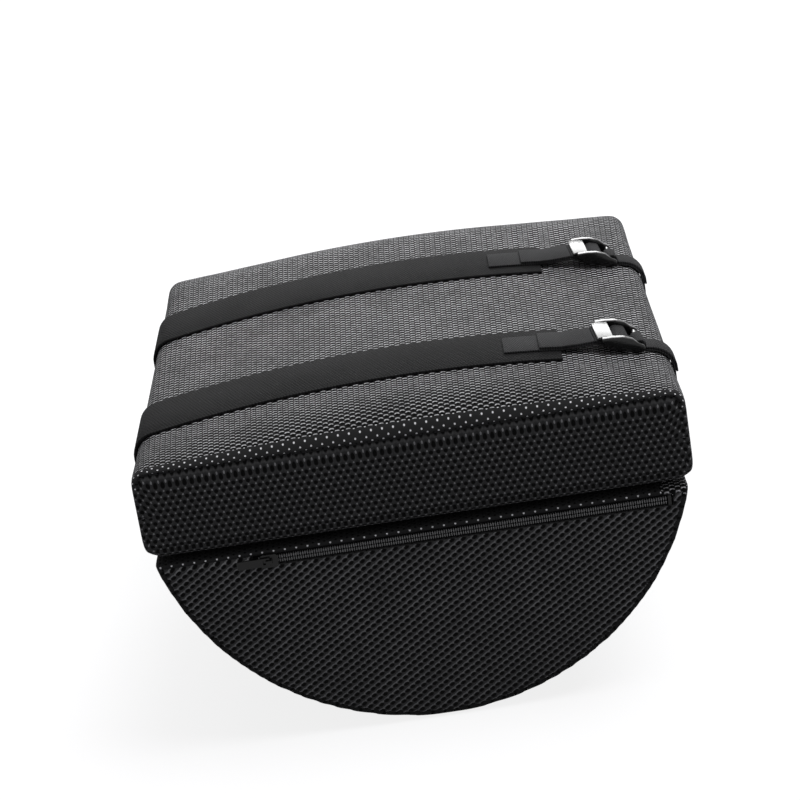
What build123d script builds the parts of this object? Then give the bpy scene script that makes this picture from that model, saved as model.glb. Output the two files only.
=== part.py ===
from build123d import *
import math
import os

# A rocking footrest: a half-round foam base in a zipped mesh cover, a thick foam pad in its own zipped
# cover, and two straps with ladder-lock buckles that hold the pad on the base.
# +X is the toe side, Y runs along the rocking axis with the near end at -Y, +Z is up.
# The origin is on the floor under the middle. All sizes are in millimetres.

# Base
base_width = 300.0
base_height = 118.0
base_length = 338.0
floor_flat_width = 20.0
base_edge_radius = 8.0
base_end_radius = 3.5
base_side_seam_drop = 9.0

# Pad
pad_side_overhang = 3.0
pad_end_overhang = 1.0
pad_gap = 0.3
pad_edge_height = 57.7
pad_crown = 14.0
pad_shoulder_radius = 12.0
pad_foot_radius = 9.0
pad_draw_in = 2.0

# Ends of the pad, where the crown falls to a nearly straight seam
pad_seam_height = 56.0
pad_seam_crown = 0.8
pad_seam_corner_radius = 8.0
pad_end_foot_radius = 6.0
pad_end_run = 45.0
pad_end_lift = 6.0
pad_end_steps = 6

# Covers and foam
cover_thickness = 2.5
core_clearance = 0.3
seam_inset = 3.5
seam_gap = 0.1
least_round = 0.4

# Straps
near_strap_y = -100.0
far_strap_y = 60.0
strap_clearance = 0.3
layer_gap = 0.1
band_width = 50.0
band_thickness = 1.6
band_end_setback = 61.0
webbing_width = 25.0
webbing_thickness = 1.3
webbing_lap = 32.0
tail_lap = 12.0
strap_drop = 5.5
sewn_length = 20.0
loop_fold_height = 12.0

# Ladder-lock buckle, in its own tilted frame: u runs from the fixed bar to the tab, w stands up
buckle_toe_setback = 17.5
buckle_tilt = 16.0
buckle_side_clearance = 0.5
rail_thickness = 4.2
rail_end_radius = 2.6
rail_length = 22.5
rail_heel_start = 17.0
rail_hump = 5.7
tab_height = 3.2
fixed_bar_radius = 1.8
bar_fit = 0.08
middle_bar_width = 6.0
middle_bar_thickness = 2.6
middle_bar_u = 9.5
middle_bar_w = 0.6
tab_start_u = 16.0
tab_start_height = 4.7
tab_thickness = 2.0
tab_lip = 2.2
tab_lip_drop = 1.0
tab_lip_width = 24.0
threaded_end_u = 25.5
threaded_split = 0.3

# Zips, along the base's near end and the pad's far end
zip_heel_setback = 58.0
zip_toe_setback = 13.0
zip_window_margin = 3.0
zip_seam_offset = 3.4
coil_gap = 1.0
coil_width = 2.4
coil_height = 2.5
tape_thickness = 0.6
tape_width = 12.0
tape_seam_lap = 0.2
stop_length = 1.8
slider_length = 10.0
slider_front_width = 7.6
slider_back_width = 6.4
slider_plate = 1.2
slider_clearance = 0.1
slider_back_clearance = 0.2
slider_corner_radius = 1.5
slider_rest_setback = 6.0
post_length = 2.5
post_width = 0.6
bridge_length = 3.6
bridge_width = 2.2
bridge_wall = 0.9
pin_radius = 0.65
pin_fit = 0.06
pin_plate_gap = 0.15
pull_length = 18.0
pull_width = 4.8
pull_thickness = 1.0
pull_corner_radius = 1.0
pull_slot_clearance = 0.25
pull_slot_length = 3.4
relief_margin = 5.0
relief_clearance = 0.5

# Worked-out places
rocker_centre_z = ((base_width / 2) ** 2 + base_height**2 - (floor_flat_width / 2) ** 2) / (2 * base_height)
rocker_radius = math.hypot(floor_flat_width / 2, rocker_centre_z)
pad_width = base_width + 2 * pad_side_overhang
pad_length = base_length + 2 * pad_end_overhang
pad_floor = base_height + pad_gap
pad_edge_z = pad_floor + pad_edge_height
pad_top = pad_edge_z + pad_crown
crown_radius = ((pad_width / 2) ** 2 + pad_crown**2) / (2 * pad_crown)
core_inset = cover_thickness + core_clearance
bar_x = pad_width / 2 - buckle_toe_setback
band_end_x = pad_width / 2 - band_end_setback
tail_end_x = band_end_x - tail_lap
zip_start_x = zip_heel_setback - base_width / 2
zip_end_x = base_width / 2 - zip_toe_setback
slider_x = zip_start_x + slider_rest_setback


def rocker_point(radius, angle):
    """Point of the section at an angle about the rocker's centre."""
    return (radius * math.cos(angle), rocker_centre_z + radius * math.sin(angle))


def over_crown(x, height):
    """Point of the section at a height over the pad's crown."""
    radius = crown_radius + height
    return (x, pad_top - crown_radius + math.sqrt(radius**2 - x**2))


def end_plane(length, side):
    """Plane across the object at its near end (side 1) or far end (side -1)."""
    return Plane.XZ.offset(side * length / 2)


# Base section and block
def base_section(inset, place=Plane.XZ):
    """Half-round section with a narrow floor flat and rounded top edges, inset all round."""
    half_flat = floor_flat_width / 2
    half_width = base_width / 2
    floor_angle = math.atan2(-rocker_centre_z, half_flat)
    edge_angle = math.atan2(base_height - rocker_centre_z, half_width)
    middle_x, middle_z = rocker_point(rocker_radius, (floor_angle + edge_angle) / 2)
    with BuildSketch(place) as section:
        with BuildLine():
            Line((-half_flat, 0), (half_flat, 0))
            ThreePointArc((half_flat, 0), (middle_x, middle_z), (half_width, base_height))
            Line((half_width, base_height), (-half_width, base_height))
            ThreePointArc((-half_width, base_height), (-middle_x, middle_z), (-half_flat, 0))
        make_face()
        fillet(section.vertices().group_by(Axis.Y)[-1], base_edge_radius)
        if inset > 0:
            offset(amount=-inset, mode=Mode.REPLACE)
    return section.sketch


def base_block(inset):
    """Solid block of the base, inset all round, with rounded end edges."""
    with BuildPart() as block:
        extrude(base_section(inset), amount=base_length / 2 - inset, both=True)
        ends = block.edges().group_by(Axis.Y)
        fillet(ends[0] + ends[-1], max(base_end_radius - inset, least_round))
    return block.part


def base_end_plate(side, inset):
    """Flat end panel of the base's cover, inside its seam."""
    with BuildPart() as plate:
        extrude(base_section(inset, end_plane(base_length, side)), amount=-side * cover_thickness)
    return plate.part


# Pad section and block
def pad_outline(half_width, low, edge, crown, shoulder, foot, place=Plane.XZ):
    """Pad section: flat underside, upright sides, rounded edges and a crowned top."""
    with BuildSketch(place) as outline:
        with BuildLine():
            Polyline((half_width, edge), (half_width, low), (-half_width, low), (-half_width, edge))
            ThreePointArc((-half_width, edge), (0, crown), (half_width, edge))
        make_face()
        fillet(outline.vertices().group_by(Axis.Y)[-1], shoulder)
        fillet(outline.vertices().group_by(Axis.Y)[0], foot)
    return outline.sketch


def pad_station(turn, inset, side, trim=0.0):
    """Pad section on the falling end: turn 0 is at the end seam, 1 where the full crown begins.

    inset moves the section in from the cover's outside, and trim narrows its outline only.
    """
    share = 1 - math.cos(turn * math.pi / 2)
    rise = math.sin(turn * math.pi / 2)
    draw_in = pad_draw_in * share**2 * (3 - 2 * share)
    edge = pad_floor + pad_seam_height + (pad_edge_height - pad_seam_height) * rise
    crown = edge + pad_seam_crown + (pad_crown - pad_seam_crown) * rise
    shoulder = pad_seam_corner_radius + (pad_shoulder_radius - pad_seam_corner_radius) * rise
    foot = pad_end_foot_radius + (pad_foot_radius - pad_end_foot_radius) * rise
    margin = inset + trim
    along = pad_length / 2 - inset - share * (pad_end_run - inset)
    return pad_outline(
        pad_width / 2 - draw_in - margin,
        pad_floor + pad_end_lift * (1 - rise) + margin,
        edge - margin,
        crown - margin,
        shoulder - margin,
        foot - margin,
        Plane.XZ.offset(side * along),
    )


def pad_block(inset):
    """Solid block of the pad, inset all round: a straight middle and two falling ends."""
    turns = [step / pad_end_steps for step in range(pad_end_steps + 1)]
    with BuildPart() as block:
        for side in (1, -1):
            loft([pad_station(turn, inset, side) for turn in turns], ruled=True)
        extrude(pad_station(1.0, inset, 0), amount=pad_length / 2 - pad_end_run, both=True)
    return block.part


def pad_end_plate(side, trim):
    """Flat end panel of the pad's cover, inside its seam."""
    with BuildPart() as plate:
        extrude(pad_station(0.0, 0.0, side, trim), amount=-side * cover_thickness)
    return plate.part


# Zips: each is laid out on a plane whose x runs along the chain and whose y points to the seam beside it
def zip_plane(length, side, chain_z):
    """Plane of a zip's tape on the inside of an end panel, with z pointing out of the cover."""
    return Plane(
        origin=(0, -side * (length / 2 - cover_thickness), chain_z),
        x_dir=(1, 0, 0),
        z_dir=(0, -side, 0),
    )


def zip_strip(place, bottom, height, start, end, low, high):
    """Straight bar along a zip: bottom and height stand out of the plane, low and high run towards the seam."""
    with BuildPart() as strip:
        with BuildSketch(place.offset(bottom)):
            with Locations(((start + end) / 2, (low + high) / 2)):
                Rectangle(end - start, high - low)
        extrude(amount=height)
    return strip.part


def zip_tape(place, low, high):
    """Woven tape behind one side of the chain."""
    start = zip_start_x - zip_window_margin
    end = zip_end_x + zip_window_margin
    return zip_strip(place, -layer_gap - tape_thickness, tape_thickness, start, end, low, high)


def zip_coil(place, low, high):
    """One side of the closed chain."""
    return zip_strip(place, -layer_gap, coil_height, zip_start_x, zip_end_x, low, high)


def zip_stops(place):
    """Two stops at the closed end and a wider one at the open end."""
    outer = coil_gap / 2 + coil_width
    spans = (
        (zip_start_x - stop_length, zip_start_x, coil_gap / 2, outer),
        (zip_start_x - stop_length, zip_start_x, -outer, -coil_gap / 2),
        (zip_end_x, zip_end_x + stop_length, -outer, outer),
    )
    with BuildPart() as stops:
        for start, end, low, high in spans:
            add(zip_strip(place, -layer_gap, coil_height, start, end, low, high))
    return stops.part


slider_front_level = cover_thickness + slider_clearance
slider_back_level = -layer_gap - tape_thickness - slider_back_clearance - slider_plate
plate_top_level = slider_front_level + slider_plate
pin_level = plate_top_level + pin_plate_gap + pin_radius


def zip_pivot(place):
    """Plane across a zip's slider, centred on the pull's pin: x along the chain, y out of the cover."""
    return Plane(
        origin=place.from_local_coords((slider_x, 0, pin_level)),
        x_dir=place.x_dir,
        z_dir=-place.y_dir,
    )


def zip_slider(place):
    """Slider: two plates joined by a post, with a bridge that holds the pull's pin."""
    post_x = slider_x - slider_length / 2 + post_length
    bridge_low = plate_top_level - pin_level - least_round
    bridge_high = pin_radius + pin_fit + bridge_wall
    with BuildPart() as slider:
        for level, width in (
            (slider_back_level, slider_back_width),
            (slider_front_level, slider_front_width),
        ):
            with BuildSketch(place.offset(level)):
                with Locations((slider_x, 0)):
                    RectangleRounded(slider_length, width, slider_corner_radius)
            extrude(amount=slider_plate)
        with BuildSketch(place.offset(slider_back_level)):
            with Locations((post_x, 0)):
                Rectangle(post_length, post_width)
        extrude(amount=plate_top_level - slider_back_level)
        with BuildSketch(zip_pivot(place)):
            with Locations((0, (bridge_low + bridge_high) / 2)):
                Rectangle(bridge_length, bridge_high - bridge_low)
            Circle(pin_radius + pin_fit, mode=Mode.SUBTRACT)
        extrude(amount=bridge_width / 2, both=True)
    return slider.part


def zip_pull(place):
    """Pull: a flat tab with a slot round the bridge and a pin across it."""
    slot_width = bridge_width + 2 * pull_slot_clearance
    with BuildPart() as pull:
        with BuildSketch(place.offset(pin_level - pull_thickness / 2)) as tab:
            with Locations((slider_x - pull_length / 2, 0)):
                Rectangle(pull_length, pull_width)
            fillet(tab.vertices().group_by(Axis.X)[0], pull_corner_radius)
            with Locations((slider_x - pull_slot_length / 2, 0)):
                Rectangle(pull_slot_length, slot_width, mode=Mode.SUBTRACT)
        extrude(amount=pull_thickness)
        with BuildSketch(zip_pivot(place)):
            Circle(pin_radius)
        extrude(amount=pull_width / 2, both=True)
    return pull.part


def zip_window(place):
    """Opening in the end panel where the chain shows."""
    start = zip_start_x - zip_window_margin
    end = zip_end_x + zip_window_margin
    return zip_strip(
        place, -cover_thickness, 3 * cover_thickness, start, end, -zip_seam_offset, zip_seam_offset + seam_inset
    )


def zip_relief(place):
    """Shallow hollow behind the tape, where the foam gives way to the slider."""
    start = zip_start_x - zip_window_margin - relief_margin
    end = zip_end_x + zip_window_margin + relief_margin
    low = -tape_width - relief_clearance
    high = zip_seam_offset + 2 * seam_inset
    depth = relief_clearance - slider_back_level
    return zip_strip(place, -depth, depth + cover_thickness, start, end, low, high)


def zip_pieces(place, owner):
    """All the pieces of one zip, by name."""
    half_gap = coil_gap / 2
    outer = half_gap + coil_width
    return {
        f"{owner}_zip_upper_tape": zip_tape(place, half_gap, zip_seam_offset + tape_seam_lap),
        f"{owner}_zip_lower_tape": zip_tape(place, -tape_width, -half_gap),
        f"{owner}_zip_upper_coil": zip_coil(place, half_gap, outer),
        f"{owner}_zip_lower_coil": zip_coil(place, -outer, -half_gap),
        f"{owner}_zip_stops": zip_stops(place),
        f"{owner}_zip_slider": zip_slider(place),
        f"{owner}_zip_pull": zip_pull(place),
    }


base_zip_plane = zip_plane(base_length, 1, base_height - seam_inset - zip_seam_offset)
pad_zip_plane = zip_plane(pad_length, -1, pad_floor + pad_end_lift + seam_inset + zip_seam_offset)

# Straps: sections are drawn across the object and given the strap's width along Y
band_high = strap_clearance + band_thickness
load_low = band_high + layer_gap
load_high = load_low + webbing_thickness
tail_low = load_high + layer_gap
tail_high = tail_low + webbing_thickness
lap_start_x = band_end_x - webbing_lap
loop_inner_radius = fixed_bar_radius + bar_fit
loop_outer_radius = loop_inner_radius + webbing_thickness
bar_z = over_crown(bar_x, strap_clearance + loop_outer_radius)[1]
drop_z = pad_floor + strap_drop


def pad_envelope(grow):
    """Largest section of the pad, grown outwards: the straps follow it."""
    with BuildSketch() as envelope:
        add(
            pad_outline(
                pad_width / 2,
                pad_floor,
                pad_edge_z,
                pad_top,
                pad_shoulder_radius,
                pad_foot_radius,
                Plane.XY,
            )
        )
        offset(amount=grow, mode=Mode.REPLACE)
    return envelope.sketch_local


def strap_over_pad(low, high, start_x, end_x, floor_z):
    """Draws the layer of a strap that lies on the pad, from start_x to end_x and down to floor_z."""
    add(pad_envelope(high))
    add(pad_envelope(low), mode=Mode.SUBTRACT)
    clip_high = pad_top + 2 * high
    with Locations(((start_x + end_x) / 2, (floor_z + clip_high) / 2)):
        Rectangle(end_x - start_x, clip_high - floor_z, mode=Mode.INTERSECT)


def strap_leg(side, thickness):
    """Section of a strap on its way from the pad's side down to its sewn end on the base's curve."""
    inner = rocker_radius + seam_gap
    outer = inner + thickness
    start = (pad_width / 2 + strap_clearance, drop_z)
    reach = math.hypot(start[0], start[1] - rocker_centre_z)
    tangent = math.atan2(start[1] - rocker_centre_z, start[0]) - math.acos(inner / reach)
    end = tangent - sewn_length / rocker_radius
    middle = (tangent + end) / 2

    def at(radius, angle):
        x, z = rocker_point(radius, angle)
        return (side * x, z)

    with BuildSketch() as leg:
        with BuildLine():
            Polyline(
                at(inner, tangent),
                (side * start[0], start[1]),
                (side * (start[0] + thickness), start[1]),
                at(outer, tangent),
            )
            ThreePointArc(at(outer, tangent), at(outer, middle), at(outer, end))
            Line(at(outer, end), at(inner, end))
            ThreePointArc(at(inner, end), at(inner, middle), at(inner, tangent))
        make_face()
    return leg.sketch_local


def strap_plane(strap_y):
    """Plane across the object through the middle of a strap."""
    return Plane.XZ.offset(-strap_y)


def wide_band(strap_y):
    """Wide band from the base's heel side, over the pad, to its cut end."""
    far_heel = -pad_width
    with BuildPart() as band:
        with BuildSketch(strap_plane(strap_y)):
            strap_over_pad(strap_clearance, band_high, far_heel, band_end_x, drop_z)
            add(strap_leg(-1, band_thickness))
        extrude(amount=band_width / 2, both=True)
    return band.part


def buckle_point(u, w):
    """Point of the section at a place in the buckle's own tilted frame."""
    tilt = math.radians(buckle_tilt)
    x = bar_x - u * math.cos(tilt) + w * math.sin(tilt)
    return (x, bar_z + u * math.sin(tilt) + w * math.cos(tilt))


leg_low = middle_bar_w - middle_bar_thickness / 2 - bar_fit - webbing_thickness
leg_high = leg_low + webbing_thickness
tail_leg_low = leg_high + layer_gap
tail_leg_high = tail_leg_low + webbing_thickness


def free_webbing(strap_y, start_x, low, high, leg_bottom, leg_top):
    """Webbing that lies on the band and then runs straight up to the buckle."""
    middle_x = (start_x + band_end_x) / 2
    split_u = threaded_end_u + threaded_split
    with BuildPart() as webbing:
        with BuildSketch(strap_plane(strap_y)):
            with BuildLine():
                ThreePointArc(over_crown(start_x, low), over_crown(middle_x, low), over_crown(band_end_x, low))
                Polyline(
                    over_crown(band_end_x, low),
                    buckle_point(split_u, leg_bottom),
                    buckle_point(split_u, leg_top),
                    over_crown(band_end_x, high),
                )
                ThreePointArc(over_crown(band_end_x, high), over_crown(middle_x, high), over_crown(start_x, high))
                Line(over_crown(start_x, high), over_crown(start_x, low))
            make_face()
        extrude(amount=webbing_width / 2, both=True)
    return webbing.part


def toe_webbing(strap_y):
    """Short webbing sewn to the base's toe side and looped round the buckle's fixed bar."""
    far_toe = pad_width
    fold_low = strap_clearance + webbing_thickness
    with BuildPart() as webbing:
        with BuildSketch(strap_plane(strap_y)):
            strap_over_pad(strap_clearance, fold_low, bar_x, far_toe, drop_z)
            add(strap_leg(1, webbing_thickness))
        with BuildSketch(strap_plane(strap_y)):
            strap_over_pad(fold_low, fold_low + webbing_thickness, bar_x, far_toe, pad_edge_z - loop_fold_height)
        with BuildSketch(strap_plane(strap_y)):
            with Locations((bar_x, bar_z)):
                Circle(loop_outer_radius)
        extrude(amount=webbing_width / 2, both=True)
        with BuildSketch(strap_plane(strap_y)):
            with Locations((bar_x, bar_z)):
                Circle(loop_inner_radius)
        extrude(amount=webbing_width, both=True, mode=Mode.SUBTRACT)
    return webbing.part


def buckle_plane(strap_y):
    """Plane through a buckle's fixed bar: x towards the tab, y up off the pad."""
    tilt = math.radians(buckle_tilt)
    return Plane(
        origin=(bar_x, strap_y, bar_z),
        x_dir=(-math.cos(tilt), 0, math.sin(tilt)),
        z_dir=(0, 1, 0),
    )


def buckle(strap_y):
    """Ladder lock: two arched rails, a round fixed bar, a flat middle bar and a broad tab."""
    place = buckle_plane(strap_y)
    inner_half = webbing_width / 2 + buckle_side_clearance
    tab_low = tab_height - tab_thickness
    lip_u = rail_length + tab_lip
    with BuildPart() as lock:
        for level in (inner_half, -inner_half - rail_thickness):
            with BuildSketch(place.offset(level)):
                Circle(rail_end_radius)
                with BuildLine():
                    Polyline(
                        (0, rail_end_radius),
                        (0, -rail_end_radius),
                        (rail_heel_start, -rail_end_radius),
                        (rail_length, tab_low),
                        (rail_length, tab_height),
                    )
                    ThreePointArc((rail_length, tab_height), (rail_length / 2, rail_hump), (0, rail_end_radius))
                make_face()
            extrude(amount=rail_thickness)
        with BuildSketch(place):
            Circle(fixed_bar_radius)
            with Locations((middle_bar_u, middle_bar_w)):
                SlotOverall(middle_bar_width, middle_bar_thickness)
            with BuildLine():
                Polyline(
                    (tab_start_u, tab_start_height - tab_thickness),
                    (rail_length, tab_low),
                    (rail_length, tab_height),
                    (tab_start_u, tab_start_height),
                    close=True,
                )
            make_face()
        extrude(amount=inner_half, both=True)
        with BuildSketch(place):
            with BuildLine():
                Polyline(
                    (rail_length, tab_low),
                    (lip_u, tab_low),
                    (lip_u, tab_height - tab_lip_drop),
                    (rail_length, tab_height),
                    close=True,
                )
            make_face()
        extrude(amount=tab_lip_width / 2, both=True)
    return lock.part


def threaded_webbing(strap_y):
    """Webbing over the buckle's middle bar, with its load leg below and its tail above that."""
    inner_width = middle_bar_width + 2 * bar_fit
    inner_height = middle_bar_thickness + 2 * bar_fit
    fold = 2 * webbing_thickness
    centre = (middle_bar_u, middle_bar_w)
    bend_u = middle_bar_u + (middle_bar_width - middle_bar_thickness) / 2
    tail_start_u = middle_bar_u + inner_width / 2
    with BuildPart() as webbing:
        with BuildSketch(buckle_plane(strap_y)):
            with Locations(centre):
                SlotOverall(inner_width + fold, inner_height + fold)
            with Locations((bend_u + inner_height, tail_leg_low - inner_height)):
                Rectangle(2 * inner_height, 2 * inner_height, mode=Mode.SUBTRACT)
            with Locations(((bend_u + threaded_end_u) / 2, (leg_low + leg_high) / 2)):
                Rectangle(threaded_end_u - bend_u, webbing_thickness)
            with Locations(((tail_start_u + threaded_end_u) / 2, (tail_leg_low + tail_leg_high) / 2)):
                Rectangle(threaded_end_u - tail_start_u, webbing_thickness)
            with Locations(centre):
                SlotOverall(inner_width, inner_height, mode=Mode.SUBTRACT)
        extrude(amount=webbing_width / 2, both=True)
    return webbing.part


# Base cover and foam
with BuildPart() as base_foam_core:
    add(base_block(core_inset))
    add(zip_relief(base_zip_plane), mode=Mode.SUBTRACT)

with BuildPart() as base_cover:
    add(base_block(0.0))
    add(base_block(cover_thickness), mode=Mode.SUBTRACT)
    for end in (1, -1):
        add(base_end_plate(end, seam_inset - seam_gap), mode=Mode.SUBTRACT)

base_side_seam = Plane.XY.offset(base_height - base_side_seam_drop)

with BuildPart() as base_top_panel:
    add(base_cover.part)
    split(bisect_by=base_side_seam, keep=Keep.TOP)

with BuildPart() as base_curved_panel:
    add(base_cover.part)
    split(bisect_by=base_side_seam, keep=Keep.BOTTOM)

with BuildPart() as base_near_end_panel:
    add(base_end_plate(1, seam_inset))
    add(zip_window(base_zip_plane), mode=Mode.SUBTRACT)

with BuildPart() as base_far_end_panel:
    add(base_end_plate(-1, seam_inset))

# Pad cover and foam
with BuildPart() as pad_foam_core:
    add(pad_block(core_inset))
    add(zip_relief(pad_zip_plane), mode=Mode.SUBTRACT)

with BuildPart() as pad_wrap_panel:
    add(pad_block(0.0))
    add(pad_block(cover_thickness), mode=Mode.SUBTRACT)
    for end in (1, -1):
        add(pad_end_plate(end, seam_inset - seam_gap), mode=Mode.SUBTRACT)

with BuildPart() as pad_near_end_panel:
    add(pad_end_plate(1, seam_inset))

with BuildPart() as pad_far_end_panel:
    add(pad_end_plate(-1, seam_inset))
    add(zip_window(pad_zip_plane), mode=Mode.SUBTRACT)

pieces = {
    "base_foam_core": base_foam_core.part,
    "base_top_panel": base_top_panel.part,
    "base_curved_panel": base_curved_panel.part,
    "base_near_end_panel": base_near_end_panel.part,
    "base_far_end_panel": base_far_end_panel.part,
    "pad_foam_core": pad_foam_core.part,
    "pad_wrap_panel": pad_wrap_panel.part,
    "pad_near_end_panel": pad_near_end_panel.part,
    "pad_far_end_panel": pad_far_end_panel.part,
}
pieces.update(zip_pieces(base_zip_plane, "base"))
pieces.update(zip_pieces(pad_zip_plane, "pad"))
for strap_name, strap_y in (("near", near_strap_y), ("far", far_strap_y)):
    pieces[f"{strap_name}_band"] = wide_band(strap_y)
    pieces[f"{strap_name}_load_webbing"] = free_webbing(
        strap_y, lap_start_x, load_low, load_high, leg_low, leg_high
    )
    pieces[f"{strap_name}_webbing_tail"] = free_webbing(
        strap_y, tail_end_x, tail_low, tail_high, tail_leg_low, tail_leg_high
    )
    pieces[f"{strap_name}_threaded_webbing"] = threaded_webbing(strap_y)
    pieces[f"{strap_name}_toe_webbing"] = toe_webbing(strap_y)
    pieces[f"{strap_name}_buckle"] = buckle(strap_y)

os.makedirs("parts", exist_ok=True)
for label, piece in pieces.items():
    piece.label = label
    export_step(piece, f"parts/{label}.step")

print("fixed bar at", round(bar_x, 3), round(bar_z, 3))
print("base pull pin at", zip_pivot(base_zip_plane).origin)
print("pad pull pin at", zip_pivot(pad_zip_plane).origin)
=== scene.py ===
"""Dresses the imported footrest: two stuffed mesh-covered blocks, two buckled straps and two zips."""

import logging
import math
from collections.abc import Callable, Iterator
from contextlib import contextmanager
from dataclasses import dataclass, field
from enum import Enum

import bmesh
import bpy
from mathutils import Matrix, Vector


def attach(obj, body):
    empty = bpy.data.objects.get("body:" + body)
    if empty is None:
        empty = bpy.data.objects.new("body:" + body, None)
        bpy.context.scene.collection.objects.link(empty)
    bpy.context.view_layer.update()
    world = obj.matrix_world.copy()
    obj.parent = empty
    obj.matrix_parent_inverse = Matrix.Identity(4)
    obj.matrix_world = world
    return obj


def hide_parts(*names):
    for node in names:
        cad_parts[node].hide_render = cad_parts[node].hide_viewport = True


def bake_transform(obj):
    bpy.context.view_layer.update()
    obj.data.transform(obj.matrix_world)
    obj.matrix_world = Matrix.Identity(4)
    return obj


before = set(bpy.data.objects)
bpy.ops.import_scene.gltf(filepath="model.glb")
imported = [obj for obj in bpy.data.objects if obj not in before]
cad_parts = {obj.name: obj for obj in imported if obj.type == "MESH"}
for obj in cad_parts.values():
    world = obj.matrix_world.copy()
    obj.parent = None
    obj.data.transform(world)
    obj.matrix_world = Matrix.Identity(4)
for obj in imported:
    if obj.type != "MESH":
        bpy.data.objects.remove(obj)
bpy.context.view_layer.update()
log = logging.getLogger("footrest")

Point2 = tuple[float, float]
Point3 = tuple[float, float, float]

TOUCHING = 1e-5
SAME_PLACE = 1e-7
SHARP_ANGLE = math.radians(35.0)
SMOOTH_ANGLE = math.radians(40.0)
RIBBON_ROUND = 0.3
WHITE = (1.0, 1.0, 1.0, 1.0)


class Panel(Enum):
    """Panels of a cover, in the order of the cover's material slots."""

    WRAP = 0
    END = 1
    # ROLL carries painted glint dots.
    ROLL = 2
    # EDGE carries the mesh without its painted highlight, as painted shade.
    EDGE = 3


class Element(Enum):
    """Kinds of mesh element that the bench selects."""

    EDGE = "EDGE"
    FACE = "FACE"


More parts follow.
